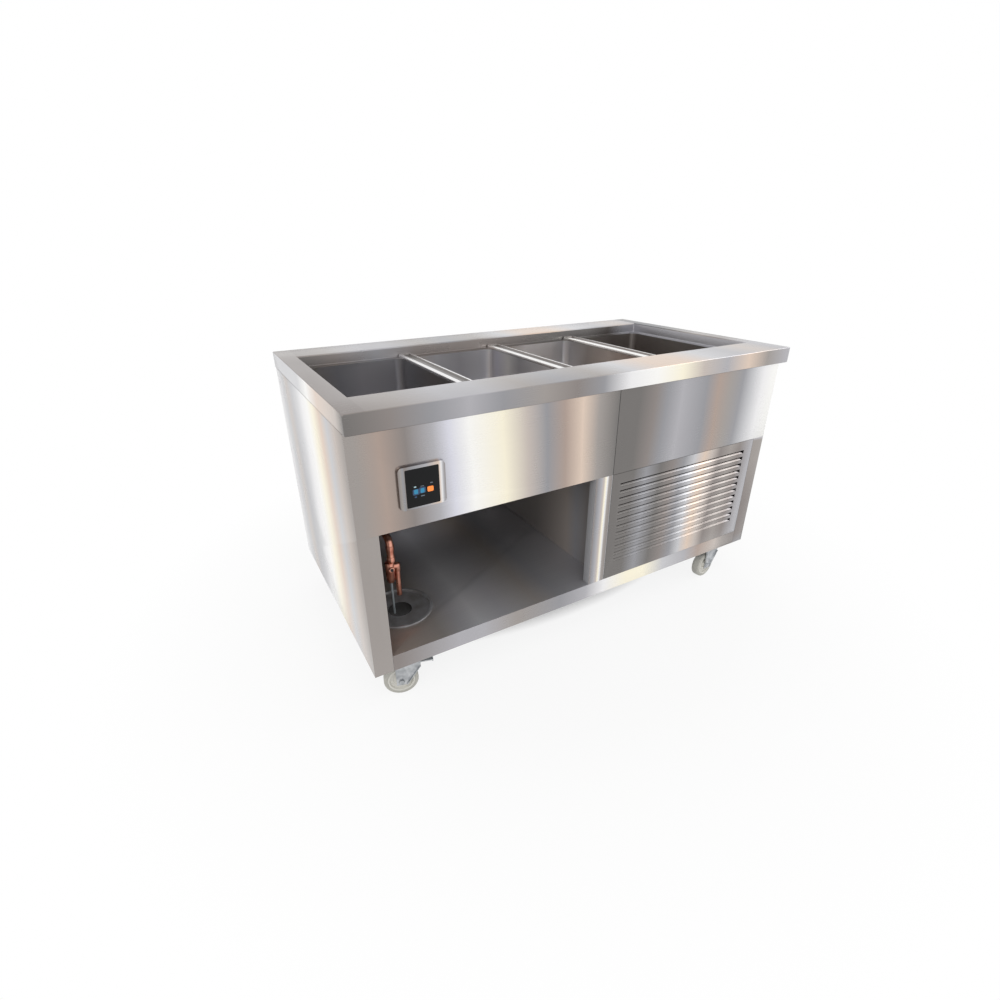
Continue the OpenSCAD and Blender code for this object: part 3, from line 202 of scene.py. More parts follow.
# Bare and plated metals: name, darker and lighter colour, roughness, scale of the clouds, metallic share
METALS = {
    "dish": ("spun_steel_dish", PAINTED_REFLECTION_TINTS["slate"], PAINTED_REFLECTION_TINTS["steel"], 0.4, 22.0, 0.4),
    # The bore of the dish's tailpiece is painted near black, dull and not metallic: painted shade for the
    # dark inside of the pipe
    "bore": ("blackened_steel_bore", "#1c1b1a", "#2a2827", 0.7, 30.0, 0.0),
    # Zinc plating is cloudy over a few millimetres
    "zinc": ("zinc_plated_steel", "#9a9da0", "#c6c8ca", 0.36, 60.0, 1.0),
    "galvanised": ("galvanised_steel_sheet", "#8f9397", "#b3b7ba", 0.42, 45.0, 0.7),
    # Drawn copper tube darkens in patches where it was handled and heated
    "copper": ("drawn_copper_tube", "#bd7662", "#f5b7a0", 0.3, 38.0, 1.0),
    "aluminium": ("rolled_aluminium_fins", "#a5a8ab", "#cdd0d3", 0.38, 80.0, 1.0),
}

# How deep the painted reflection tints of a front edge, of the apron's skin and of the rails go
EDGE_DEPTH = 0.0002
SKIN_DEPTH = 0.0004
RAIL_DEPTH = 0.004
# Two points nearer than this are in one place, and edges and faces are picked with this much slack
SAME_PLACE = 1e-5
SLACK = 0.001
# The top's foot under the ledge, and its return over the body
FOOT_WIDTH = 0.012
RETURN_LAP = 0.012
DRAIN_RADIUS = 0.0123
DRILL_DEPTH = 0.02
# The channel along a divider bar: shoulder beside it, width of a sloping side, depth, and half its reach
CHANNEL_SHOULDER = 0.005
CHANNEL_SIDE = 0.003
CHANNEL_DEPTH = 0.004
CHANNEL_REACH = 0.014
# The copper drain pipe and the collars on it
PIPE_RADIUS = 0.011
COLLAR_WALL = 0.0016
COLLAR_LENGTH = 0.016
COLLAR_INSET = 0.0014
COLLAR_ROUNDING = 0.0006
LOW_COLLAR_RISE = 0.010
HIGH_COLLAR_Z = 0.404
# The dish's bowl ends, and its bore with its painted shade starts, this far below the deck
BORE_DROP = 0.0065
# The condenser's fins
FIN_PITCH = 0.003
FIN_THICKNESS = 0.0003
FIN_RUN = 0.294
FIN_END_GAP = 0.004
FIN_SET_BACK = 0.0002
FIN_INSET = 0.001
# The wheels: the tread's flat flank, the shoulder that it leaves room for, the depth of its dish, and the
# hub's steps of width and height
TREAD_RADIUS = 0.051
WHEEL_WIDTH = 0.030
TREAD_FLANK = 0.0025
TREAD_BEAD = 0.006
TREAD_DISH = 0.0008
HUB_RADIUS = 0.0398
HUB_ROUNDING = 0.0006
HUB_STEPS = (
    (0.0048, 0.0), (0.0012, -0.0075), (0.0090, 0.0), (0.0012, -0.0015), (0.0088, 0.0), (0.0008, 0.0100),
    (0.0035, 0.0), (0.0008, -0.0015),
)
# The tiles on the screen: how far a glow and a tile stand before the glass's face, how far down the glass
# their row is, and their rounding and rim as shares of their smaller side
GLOW_DEPTH = 0.0001
TILE_DEPTH = 0.0002
TILE_ROW = 0.60
TILE_ROUNDING = 0.22
TILE_RIM = 0.08
# Angles in degrees: faces that meet under the first look smooth, on coarser curves under the second, edges
# over the third are rounded, and faces within the last become one
SMOOTH_BELOW = 32
SMOOTH_CURVES = 40
ROUND_OVER = 30
FLAT_WITHIN = 0.4
# The camera that was fitted to the photograph
CAMERA_PLACE = (-1.0298, -1.5538, 1.2212)
CAMERA_TURN = ((0.8660, 0.2220, -0.4489), (-0.5000, 0.3749, -0.7803), (-0.0049, 0.9001, 0.4356))
CAMERA_SHIFT = (0.0009, 0.0010)
FLOOR_SIZE = 60
LAMP_AIM = (0, 0, 0.5)


def linear(code):
    """An sRGB hex colour as a linear one with alpha."""
    parts = [int(code[i:i + 2], 16) / 255 for i in (1, 3, 5)]
    return tuple(c / 12.92 if c <= 0.04045 else ((c + 0.055) / 1.055) ** 2.4 for c in parts) + (1.0,)


def number(name, description, default, low, high, unit="LENGTH"):
    """A number that a user may change: a length in metres, unless its unit says otherwise."""
    return FloatProperty(name=name, description=description, default=default, min=low, max=high, unit=unit)


def chosen_colour(name, description, code):
    """A colour that a user may change."""
    return FloatVectorProperty(name=name, description=description, subtype="COLOR", size=4,
                               default=linear(code), min=0, max=1)


# Sizes and colours that a user would change


class SheetSettings(bpy.types.PropertyGroup):
    """Sheet metal of the counter"""

    thickness: number("Sheet", "Thickness of the body and top sheet", 0.0015, 0.0008, 0.003)
    bend: number("Bend", "Outer radius of the folds of the top", 0.003, 0.001, 0.008)
    edge: number("Edge", "Rounding of a cut sheet edge", 0.0004, 0.0001, 0.0007)
    polished: number("Polished", "Roughness of the polished sheet", 0.26, 0.05, 0.6, "NONE")
    brushed: number("Brushed", "Roughness of the brushed sheet", 0.34, 0.05, 0.7, "NONE")
    grain: number("Grain", "Distance between two lines of the polishing grain", 0.0012, 0.0003, 0.005)


class WellSettings(bpy.types.PropertyGroup):
    """Wells and the bars between them"""

    sheet: number("Well sheet", "Thickness of the well sheet", 0.0012, 0.0008, 0.002)
    corner: number("Well corner", "Radius of the upright corners", 0.025, 0.01, 0.04)
    cove: number("Well cove", "Radius between a well's walls and its floor", 0.012, 0.004, 0.02)
    lip: number("Well lip", "Width of a well's lip", 0.007, 0.004, 0.008)
    shoulder: number("Bar shoulder", "Radius along a divider bar", 0.005, 0.001, 0.009)


class ScreenSettings(bpy.types.PropertyGroup):
    """Control screen"""

    tile: number("Tile", "Side of a lit tile", 0.012, 0.005, 0.02)
    cool: chosen_colour("Cool tile", "Colour of the two cool tiles", "#1b6c8d")
    warm: chosen_colour("Warm tile", "Colour of the warm tile", "#e07a30")


class CasterSettings(bpy.types.PropertyGroup):
    """Wheels"""

    shoulder: number("Tread shoulder", "Radius of a tread's shoulders", 0.006, 0.001, 0.009)
    sides: IntProperty(name="Sides", description="Flat faces round a wheel", default=72, min=24, max=128)
    tread: chosen_colour("Tread", "Colour of the tread", "#bdbbb3")
    hub: chosen_colour("Hub", "Colour of the hubs", "#dedcd4")


class StageSettings(bpy.types.PropertyGroup):
    """Light, floor and camera"""

    key: number("Key light", "Power of the large front light", 42.0, 0, 1000, "POWER")
    fill: number("Fill light", "Power of the large light at the right", 22.0, 0, 1000, "POWER")
    room: number("Room light", "Strength of the light from all round", 0.75, 0, 2, "NONE")
    lens: number("Lens", "Focal length of the camera", 19.56, 10, 200, "CAMERA")


class SaladBarSettings(bpy.types.PropertyGroup):
    """All settings of the salad bar"""

    sheet: PointerProperty(type=SheetSettings)
    wells: PointerProperty(type=WellSettings)
    screen: PointerProperty(type=ScreenSettings)
    casters: PointerProperty(type=CasterSettings)
    stage: PointerProperty(type=StageSettings)


# Working by hand: selection, edit mode and modifiers


def only(piece):
    """Selects one object and makes it active."""
    bpy.ops.object.select_all(action="DESELECT")
    piece.select_set(True)
    bpy.context.view_layer.objects.active = piece


def edit(piece):
    """Opens edit mode with nothing selected."""
    only(piece)
    bpy.ops.object.mode_set(mode="EDIT")
    bpy.ops.mesh.select_all(action="DESELECT")


def done():
    """Closes edit mode."""
    bpy.ops.object.mode_set(mode="OBJECT")


def pick(piece, kind, test):
    """Selects the vertices, edges or faces that pass a test, in edit mode."""
    bpy.ops.mesh.select_mode(type=kind)
    bpy.ops.mesh.select_all(action="DESELECT")
    mesh = bmesh.from_edit_mesh(piece.data)
    items = {"VERT": mesh.verts, "EDGE": mesh.edges, "FACE": mesh.faces}[kind]
    found = [item for item in items if test(item)]
    if not found:
        raise RuntimeError(f"nothing to select on {piece.name}")
    for item in found:
        item.select_set(True)
    mesh.select_flush_mode()
    bmesh.update_edit_mesh(piece.data)


def middle(item):
    """Middle of an edge or face."""
    return sum((v.co for v in item.verts), Vector()) / len(item.verts)


def write_place():
    """Writes the active piece's place into its mesh."""
    bpy.ops.object.transform_apply(location=True, rotation=True, scale=True)


def block(name, low, high):
    """A cube primitive between two corners, its place in its mesh."""
    bpy.ops.mesh.primitive_cube_add(size=1, location=(Vector(low) + Vector(high)) / 2)
    piece = bpy.context.object
    piece.name = name
    piece.scale = Vector(high) - Vector(low)
    write_place()
    return piece


def cylinder(sides, radius, depth, place=(0, 0, 0)):
    """A cylinder primitive along Z."""
    bpy.ops.mesh.primitive_cylinder_add(vertices=sides, radius=radius, depth=depth, location=place)
    return bpy.context.object


def own_copy(piece):
    """A copy of a piece with a mesh of its own, selected."""
    copy = piece.copy()
    copy.data = piece.data.copy()
    bpy.context.scene.collection.objects.link(copy)
    only(copy)
    return copy


def row(first, count, step):
    """A piece and its copies, one step apart along X."""
    pieces = [first]
    for k in range(1, count):
        copy = own_copy(first)
        copy.location.x = k * step
        write_place()
        pieces.append(copy)
    return pieces


def modify(piece, kind, **settings):
    """Adds a modifier and applies it."""
    only(piece)
    modifier = piece.modifiers.new(kind.title(), kind)
    for key, value in settings.items():
        setattr(modifier, key, value)
    bpy.ops.object.modifier_apply(modifier=modifier.name)


def smooth(piece, degrees=SMOOTH_BELOW):
    """Shades a piece smooth where its faces meet at less than an angle."""
    only(piece)
    bpy.ops.object.shade_smooth_by_angle(angle=math.radians(degrees))


def round_edges(piece, width, segments=2):
    """Rounds every sharp edge and shades the piece smooth."""
    modify(piece, "BEVEL", width=width, segments=segments, limit_method="ANGLE",
           angle_limit=math.radians(ROUND_OVER), use_clamp_overlap=True, harden_normals=False)
    smooth(piece)


def settle(piece, name, finish, slot, *nodes, body=None):
    """Names a piece, gives it its finish, and lets it ride on the body of the CAD node it stands for."""
    piece.name = piece.data.name = name
    if finish is not None:
        piece.data.materials.clear()
        piece.data.materials.append(FINISHES[finish])
    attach(piece, body or body_of(frame["nodes"][nodes[0]])[0])
    if nodes:
        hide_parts(*nodes)
    return piece


def second_finish(piece, finish, test):
    """Gives the faces that pass a test another finish."""
    piece.data.materials.append(FINISHES[finish])
    edit(piece)
    pick(piece, "FACE", test)
    piece.active_material_index = len(piece.data.materials) - 1
    bpy.ops.object.material_slot_assign()
    done()


def softened(node, width, segments=2):
    """A copy of a CAD node with its triangles merged and its edges rounded."""
    source = frame["nodes"][node]
    piece = bpy.data.objects.new(node, source.data.copy())
    bpy.context.scene.collection.objects.link(piece)
    piece.data.materials.clear()
    edit(piece)
    bpy.ops.mesh.select_all(action="SELECT")
    bpy.ops.mesh.remove_doubles(threshold=SAME_PLACE)
    bpy.ops.mesh.customdata_custom_splitnormals_clear()
    if width > 0:
        bpy.ops.mesh.dissolve_limited(angle_limit=math.radians(FLAT_WITHIN))
    done()
    if width > 0:
        round_edges(piece, width, segments)
    else:
        smooth(piece)
    return piece


def dress(rows, segments=2):
    """Softens and settles each CAD node of a table: node, name, rounding, finish and slot."""
    return {node: settle(softened(node, width, segments), name, finish, slot, node)
            for node, name, width, finish, slot in rows}


def rise(edge):
    """How far an edge rises."""
    return abs(edge.verts[0].co.z - edge.verts[1].co.z)


def extrude(height=0):
    """Extrudes what is selected, straight up or down."""
    bpy.ops.mesh.extrude_region_move(TRANSFORM_OT_translate={"value": (0, 0, height)})


def bore(piece):
    """Takes the selected end faces out and builds the bore's wall between them."""
    bpy.ops.mesh.delete(type="FACE")
    pick(piece, "EDGE", lambda e: e.is_boundary)
    bpy.ops.mesh.bridge_edge_loops()
    done()


# Finishes


def add(tree, kind, inputs=None, stops=None, **settings):
    """Adds one shader node, with its settings, its inputs' values or links, and a ramp's stops."""
    node = tree.nodes.new("ShaderNode" + kind)
    for key, value in settings.items():
        setattr(node, key, value)
    for key, value in (inputs or {}).items():
        if isinstance(value, bpy.types.NodeSocket):
            tree.links.new(value, node.inputs[key])
        else:
            node.inputs[key].default_value = value
    if stops:
        ramp = node.color_ramp
        for place, colour in stops[1:-1]:
            ramp.elements.new(place).color = colour
        ramp.elements[0].position, ramp.elements[0].color = stops[0]
        ramp.elements[len(stops) - 1].position, ramp.elements[len(stops) - 1].color = stops[-1]
    return node


def new_finish(name):
    """An empty material with its output, and its Object coordinates."""
    material = bpy.data.materials.new(name)
    material.use_nodes = True
    tree = material.node_tree
    tree.nodes.clear()
    place = add(tree, "TexCoord").outputs["Object"]
    return material, tree, place


def surface(tree, shader):
    """Links a shader to the material's output."""
    add(tree, "OutputMaterial", {"Surface": shader.outputs[0]})


def painted_reflection_bands(tree, axis_value, painted_tints):
    """Soft bands of painted reflection along one axis, between the first and last place of a table."""
    first, last = painted_tints[0][0], painted_tints[-1][0]
    share = add(tree, "MapRange", {"Value": axis_value, "From Min": first, "From Max": last}).outputs[0]
    stops = [((place - first) / (last - first), linear(PAINTED_REFLECTION_TINTS[painted_tint])) for place, painted_tint in painted_tints]
    return add(tree, "ValToRGB", {"Fac": share}, stops=stops).outputs["Color"]


def toned(tree, colour, noise, low, high, first=0.3, last=0.7):
    """A colour scaled by a noise: by low where the noise is first, by high where it is last."""
    tone = add(tree, "MapRange", {"Value": noise, "From Min": first, "From Max": last, "To Min": low,
                                  "To Max": high}).outputs[0]
    return add(tree, "VectorMath", {0: colour, "Scale": tone}, operation="SCALE").outputs[0]


def skin(tree, place, scale, strength, distance):
    """The normal of a finely uneven skin."""
    height = add(tree, "TexNoise", {"Vector": place, "Scale": scale, "Detail": 2.0}).outputs["Fac"]
    return add(tree, "Bump", {"Height": height, "Strength": strength, "Distance": distance}).outputs[0]


def steel_sheet(name, regions, grain, roughness, pitch, depth=0.008, metallic=1.0, sway=0.03):
    """Stainless steel sheet, ground with a fine belt and polished: soft bands of painted reflection run
    across its grain.

    regions is a list of (axis, table, test): the first covers the sheet, and each later one lies where its
    test, an (axis, operation, limit), is true. grain is the direction that the belt ran in, 0 for X and 1
    for Y.
    """
    material, tree, place = new_finish(name)
    split = add(tree, "SeparateXYZ", {"Vector": place})
    # The painted reflection bands sway by some millimetres over half a metre, as in a sheet that isn't quite
    # flat
    wave = add(tree, "TexNoise", {"Vector": place, "Scale": 2.2, "Detail": 1.0}).outputs["Fac"]
    shift = add(tree, "MapRange", {"Value": wave, "To Min": -sway, "To Max": sway}).outputs[0]
    colour = None
    for axis, table, test in regions:
        along = add(tree, "Math", {0: split.outputs[axis], 1: shift}, operation="ADD").outputs[0]
        painted_tint = painted_reflection_bands(tree, along, table)
        if colour is None:
            colour = painted_tint
        else:
            which, operation, limit = test
            there = add(tree, "Math", {0: split.outputs[which], 1: limit}, operation=operation).outputs[0]
            colour = add(tree, "Mix", {0: there, 6: colour, 7: painted_tint}, data_type="RGBA").outputs[2]
    # Lines of the grinding belt: long along the grain, one pitch apart across it
    fine, long = 1 / pitch, 5.0
    stretch = (long, fine, fine) if grain == 0 else (fine, long, fine)
    lines_at = add(tree, "Mapping", {"Vector": place, "Scale": stretch}).outputs[0]
    lines = add(tree, "TexNoise", {"Vector": lines_at, "Scale": 1.0, "Detail": 3.0}).outputs["Fac"]
    # Handling leaves broad patches a little duller
    patch = add(tree, "TexNoise", {"Vector": place, "Scale": 5.0, "Detail": 1.0}).outputs["Fac"]
    dull = add(tree, "MapRange", {"Value": patch, "From Min": 0.3, "From Max": 0.7,
                                  "To Min": roughness - 0.02, "To Max": roughness + 0.03}).outputs[0]
    rough = add(tree, "MapRange", {"Value": lines, "To Min": -0.015, "To Max": 0.015}).outputs[0]
    rough = add(tree, "Math", {0: dull, 1: rough}, operation="ADD").outputs[0]
    bump = add(tree, "Bump", {"Height": lines, "Strength": 0.008, "Distance": 0.0002}).outputs[0]
    surface(tree, add(tree, "BsdfPrincipled", {
        "Base Color": toned(tree, colour, lines, 1 - depth, 1 + depth), "Metallic": metallic,
        "Roughness": rough, "Normal": bump}))
    return material


def plain_metal(name, low, high, roughness, scale, metallic):
    """Bare or plated metal: a cloudy tone between two colours, with a faint uneven skin."""
    material, tree, place = new_finish(name)
    cloud = add(tree, "TexNoise", {"Vector": place, "Scale": scale, "Detail": 5.0}).outputs["Fac"]
    colour = add(tree, "ValToRGB", {"Fac": cloud},
                 stops=((0.32, linear(low)), (0.68, linear(high)))).outputs["Color"]
    rough = add(tree, "MapRange", {"Value": cloud, "To Min": roughness + 0.08,
                                   "To Max": roughness - 0.08}).outputs[0]
    surface(tree, add(tree, "BsdfPrincipled", {
        "Base Color": colour, "Metallic": metallic, "Roughness": rough,
        "Normal": skin(tree, place, scale * 12, 0.1, 0.0003)}))
    return material


def moulded(name, colour, roughness, ior, pitch, bump=0.15, vary=0.06, gloss=0.5):
    """Moulded plastic, rubber or sprayed paint: an even colour with a fine pebbled skin and faint dust."""
    material, tree, place = new_finish(name)
    cloud = add(tree, "TexNoise", {"Vector": place, "Scale": 14.0, "Detail": 4.0}).outputs["Fac"]
    rough = add(tree, "MapRange", {"Value": cloud, "To Min": roughness - 0.06,
                                   "To Max": roughness + 0.06}).outputs[0]
    surface(tree, add(tree, "BsdfPrincipled", {
        "Base Color": toned(tree, tuple(colour)[:3], cloud, 1 - vary, 1 + vary), "Roughness": rough,
        "IOR": ior, "Specular IOR Level": gloss, "Normal": skin(tree, place, 1 / pitch, bump, 0.0002)}))
    return material


def lit_tile(name, colour):
    """A lit patch under the screen glass, a little uneven."""
    material, tree, place = new_finish(name)
    glow = add(tree, "TexNoise", {"Vector": place, "Scale": 90.0, "Detail": 1.0}).outputs["Fac"]
    light = toned(tree, tuple(colour)[:3], glow, 0.85, 1.1, 0, 1)
    surface(tree, add(tree, "BsdfPrincipled", {
        "Base Color": light, "Roughness": 0.15, "Emission Color": light, "Emission Strength": 0.7}))
    return material


FINISHES = {}


def make_finishes(context):
    """Makes every finish once, and gives the settings."""
    settings = context.scene.salad_bar
    if FINISHES:
        return settings
    sheet, screen, casters = settings.sheet, settings.screen, settings.casters

    def steel(word, key, regions, grain=0, **look):
        """Makes one steel finish; word is polished or brushed."""
        FINISHES[key] = steel_sheet(f"{word}_steel_{key}", regions, grain, getattr(sheet, word), sheet.grain,
                                    **look)

    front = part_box("left_fascia")[0].y + EDGE_DEPTH
    low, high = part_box("top_frame")
    in_low, in_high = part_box("well_deck")
    # The top's rails, apron and ends take painted reflection bands, and its recess walls darker ones as
    # painted shade
    steel("polished", "top", [
        (0, RAIL_TINTS, None),
        (1, LEFT_RAIL_TINTS, (0, "LESS_THAN", in_low.x)),
        (1, RIGHT_RAIL_TINTS, (0, "GREATER_THAN", in_high.x)),
        (0, RECESS_SHADE_TINTS, (2, "LESS_THAN", high.z - RAIL_DEPTH)),
        (0, APRON_TINTS, (1, "LESS_THAN", low.y + SKIN_DEPTH)),
        (0, APRON_TINTS, (1, "GREATER_THAN", high.y - SKIN_DEPTH)),
        (1, APRON_END_TINTS, (0, "LESS_THAN", low.x + SKIN_DEPTH)),
        (1, APRON_END_TINTS, (0, "GREATER_THAN", high.x - SKIN_DEPTH)),
    ])
    for word, key, table, grain in (
        ("polished", "left_fascia", LEFT_FASCIA_TINTS, 0),
        ("polished", "right_fascia", RIGHT_FASCIA_TINTS, 0),
        ("polished", "louvre_panel", LOUVRE_TINTS, 0),
        ("polished", "back_panel", APRON_TINTS, 0),
        ("polished", "skirt", SKIRT_TINTS, 0),
        # The divider bars are painted near white as a highlight, and their channels darker as painted shade
        ("polished", "divider", DIVIDER_HIGHLIGHT_TINTS, 1),
        ("brushed", "divider_channel", CHANNEL_SHADE_TINTS, 1),
        ("brushed", "ledge", RECESS_SHADE_TINTS, 0),
        ("brushed", "well", WELL_TINTS, 1),
    ):
        steel(word, key, [(0, table, None)], grain)
    # The end panels take painted reflection bands, and their front edges their own
    for key, axis, table in (("left_panel", 1, LEFT_EDGE_TINTS), ("right_panel", 2, RIGHT_EDGE_TINTS)):
        steel("polished", key, [(1, END_PANEL_TINTS, None), (axis, table, (1, "LESS_THAN", front))], 1)
    for k, table in enumerate(WELL_SIDE_TINTS, 1):
        steel("brushed", f"well_side_{k}", [(1, table, None)], 1)
    # The sheets inside the bay are duller, so they scatter part of their light; their bands are painted
    # reflections
    steel("brushed", "partition", [(1, PARTITION_TINTS, None)], 1, metallic=0.35)
    steel("brushed", "deck", [(0, DECK_TINTS, None)], depth=0.04, metallic=0.5)
    steel("polished", "centre_post", [(0, POST_TINTS, None)], sway=0.004)
    low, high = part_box("control_bezel")
    table = tuple((low.x + share * (high.x - low.x), painted_tint) for share, painted_tint in BEZEL_TINTS)
    steel("polished", "bezel", [(0, table, None)], sway=0.0)
    for key, look in METALS.items():
        FINISHES[key] = plain_metal(*look)
    for key, name, paint, *look in (
        ("black", "black_enamel", linear("#17181a"), 0.3, 1.5, 0.004, 0.1),
        ("plastic", "dark_moulded_plastic", linear("#2c2e30"), 0.5, 1.46, 0.0012),
        ("grey_tube", "grey_flexible_tube", linear("#98a0a4"), 0.45, 1.5, 0.0015),
        ("tread", "grey_rubber_tread", casters.tread, 0.6, 1.52, 0.0009, 0.25),
        ("hub", "pale_polypropylene_hub", casters.hub, 0.34, 1.49, 0.0012, 0.1, 0.03),
        ("paint", "grey_powder_paint", linear("#8d9193"), 0.5, 1.5, 0.0008, 0.3),
        ("foam", "poured_polyurethane_foam", linear("#e5d8a6"), 0.85, 1.4, 0.002, 0.5),
        ("mat", "silicone_heater_mat", linear("#c9662a"), 0.6, 1.42, 0.0015, 0.3),
        ("glass", "black_screen_glass", linear("#0b0c0e"), 0.08, 1.52, 0.02, 0.0, 0.1, 0.2),
    ):
        FINISHES[key] = moulded(name, paint, *look)
    for key, name, light in (
        ("cool", "screen_tile_cool", screen.cool),
        ("warm", "screen_tile_warm", screen.warm),
        ("mark", "screen_mark_pale", linear("#8fa7ad")),
        ("dim", "screen_mark_dim", linear("#4b535c")),
        ("deep", "screen_mark_deep_blue", linear("#1d3350")),
    ):
        FINISHES[key] = lit_tile(name, light)
    return settings


# Pieces


class SALADBAR_OT_counter_top(bpy.types.Operator):
    """Fold the top from one sheet: rails, apron, recess walls and foot"""

    bl_idname = "saladbar.counter_top"
    bl_label = "Counter Top"

    def execute(self, context):
        settings = make_finishes(context)
        sheet, bend = settings.sheet.thickness, settings.sheet.bend
        low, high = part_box("top_frame")
        in_low, in_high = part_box("well_deck")
        bpy.ops.mesh.primitive_plane_add(size=1, location=(0, 0, high.z))
        piece = bpy.context.object
        piece.scale = (high.x - low.x, high.y - low.y, 1)
        write_place()
        edit(piece)
        for place, normal in (((in_low.x, 0, 0), (1, 0, 0)), ((in_high.x, 0, 0), (1, 0, 0)),
                              ((0, in_low.y, 0), (0, 1, 0)), ((0, in_high.y, 0), (0, 1, 0))):
            bpy.ops.mesh.select_all(action="SELECT")
            bpy.ops.mesh.bisect(plane_co=place, plane_no=normal)
        centre = (in_low + in_high) / 2
        pick(piece, "FACE", lambda f: (middle(f) - centre).to_2d().length < 0.1)
        bpy.ops.mesh.delete(type="ONLY_FACE")

        def inner(e):
            m = middle(e)
            return (e.is_boundary and in_low.x - SLACK < m.x < in_high.x + SLACK and
                    in_low.y - SLACK < m.y < in_high.y + SLACK)

        pick(piece, "EDGE", inner)
        extrude(in_low.z - high.z)
        extrude()
        half = (in_high - in_low) / 2
        bpy.ops.transform.resize(value=((half.x - FOOT_WIDTH) / half.x, (half.y - FOOT_WIDTH) / half.y, 1),
                                 center_override=(centre.x, centre.y, in_low.z))

        def outer(e):
            m = middle(e)
            side = min(abs(m.x - low.x), abs(m.x - high.x), abs(m.y - low.y), abs(m.y - high.y))
            return e.is_boundary and side < SAME_PLACE and m.z > high.z - SAME_PLACE

        pick(piece, "EDGE", outer)
        extrude(low.z - high.z)
        extrude()
        # The return laps over the body on every side
        b_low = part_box("left_panel")[0]
        b_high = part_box("right_panel")[1]
        new_low = Vector((b_low.x + RETURN_LAP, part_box("left_fascia")[0].y + RETURN_LAP, 0))
        new_high = Vector((b_high.x - RETURN_LAP, b_high.y - RETURN_LAP, 0))
        share = ((new_high.x - new_low.x) / (high.x - low.x), (new_high.y - new_low.y) / (high.y - low.y), 1)
        bpy.ops.transform.resize(value=share, center_override=(0, 0, low.z))
        shift = (new_low + new_high) / 2
        bpy.ops.transform.translate(value=(shift.x, shift.y, 0))
        pick(piece, "EDGE", lambda e: len(e.link_faces) == 2 and e.calc_face_angle(0) > 0.5)
        bpy.ops.mesh.bevel(offset=bend, segments=4, affect="EDGES", clamp_overlap=True)
        done()
        modify(piece, "SOLIDIFY", thickness=sheet, offset=-1, use_even_offset=True)
        smooth(piece)
        settle(piece, "counter_top_sheet", "top", "polished_steel", "top_frame")
        return {"FINISHED"}


class SALADBAR_OT_wells(bpy.types.Operator):
    """Draw one deep well with a lip, coved floor and drain hole, and copy it"""

    bl_idname = "saladbar.wells"
    bl_label = "Wells"

    def execute(self, context):
        settings = make_finishes(context)
        wells = settings.wells
        low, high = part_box("well_1")
        out = wells.lip + wells.sheet
        edge = Vector((out, out, 0))
        inner_low = low + edge + Vector((0, 0, wells.sheet))
        inner_high = high - edge
        first = block("well", inner_low, inner_high)
        edit(first)
        pick(first, "FACE", lambda f: f.normal.z > 0.9)
        bpy.ops.mesh.delete(type="FACE")
        pick(first, "EDGE", lambda e: rise(e) > 0.05)
        bpy.ops.mesh.bevel(offset=wells.corner, segments=10, affect="EDGES")
        pick(first, "EDGE", lambda e: all(abs(v.co.z - inner_low.z) < SAME_PLACE for v in e.verts))
        bpy.ops.mesh.bevel(offset=wells.cove, segments=5, affect="EDGES")
        pick(first, "EDGE", lambda e: e.is_boundary)
        extrude()
        half = (inner_high - inner_low) / 2
        centre = (inner_low + inner_high) / 2
        bpy.ops.transform.resize(value=((half.x + out) / half.x, (half.y + out) / half.y, 1),
                                 center_override=(centre.x, centre.y, inner_high.z))
        done()
        modify(first, "SOLIDIFY", thickness=wells.sheet, offset=1, use_even_offset=True)
        drill = cylinder(48, DRAIN_RADIUS, DRILL_DEPTH, (centre.x, centre.y, inner_low.z))
        modify(first, "BOOLEAN", operation="DIFFERENCE", object=drill, solver="EXACT")
        bpy.data.objects.remove(drill)
        smooth(first)
        for k, piece in enumerate(row(first, 4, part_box("well_2")[0].x - low.x), 1):
            settle(piece, f"drawn_well_{k}", "well", "brushed_steel", f"well_{k}")
            # Each well's right wall takes its own painted reflection and shade tints
            second_finish(piece, f"well_side_{k}", lambda f: f.normal.x < -0.7)
        return {"FINISHED"}


class SALADBAR_OT_dividers(bpy.types.Operator):
    """Press one lift-out bar with rounded shoulders, and copy it"""

    bl_idname = "saladbar.dividers"
    bl_label = "Divider Bars"

    def execute(self, context):
        settings = make_finishes(context)
        sheet, shoulder = settings.sheet.thickness, settings.wells.shoulder
        low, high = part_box("divider_1")
        first = block("bar", low, high)
        edit(first)
        pick(first, "FACE", lambda f: f.normal.z < -0.9)
        bpy.ops.mesh.delete(type="FACE")
        top = high.z - SAME_PLACE
        pick(first, "EDGE", lambda e: all(v.co.z > top for v in e.verts) or rise(e) > SLACK)
        bpy.ops.mesh.bevel(offset=shoulder, segments=5, affect="EDGES")
        # A channel runs along the top between the two shoulders
        pick(first, "FACE", lambda f: f.normal.z > 0.99 and f.calc_area() > 0.01)
        bpy.ops.mesh.inset(thickness=CHANNEL_SHOULDER, depth=0)
        bpy.ops.mesh.inset(thickness=CHANNEL_SIDE, depth=-CHANNEL_DEPTH)
        done()
        # The bar is painted near white as a highlight, and its channel darker as painted shade
        first.data.materials.append(FINISHES["divider"])

        def in_channel(f):
            m = middle(f)
            return (SLACK < high.z - m.z < CHANNEL_DEPTH + SLACK / 2 and f.normal.z > 0.1 and
                    abs(m.x - (low.x + high.x) / 2) < CHANNEL_REACH)

        second_finish(first, "divider_channel", in_channel)
        modify(first, "SOLIDIFY", thickness=sheet, offset=-1, use_even_offset=True)
        smooth(first, SMOOTH_CURVES)
        for k, piece in enumerate(row(first, 3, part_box("divider_2")[0].x - low.x), 1):
            settle(piece, f"divider_bar_{k}", None, "polished_steel", f"divider_{k}")
        return {"FINISHED"}


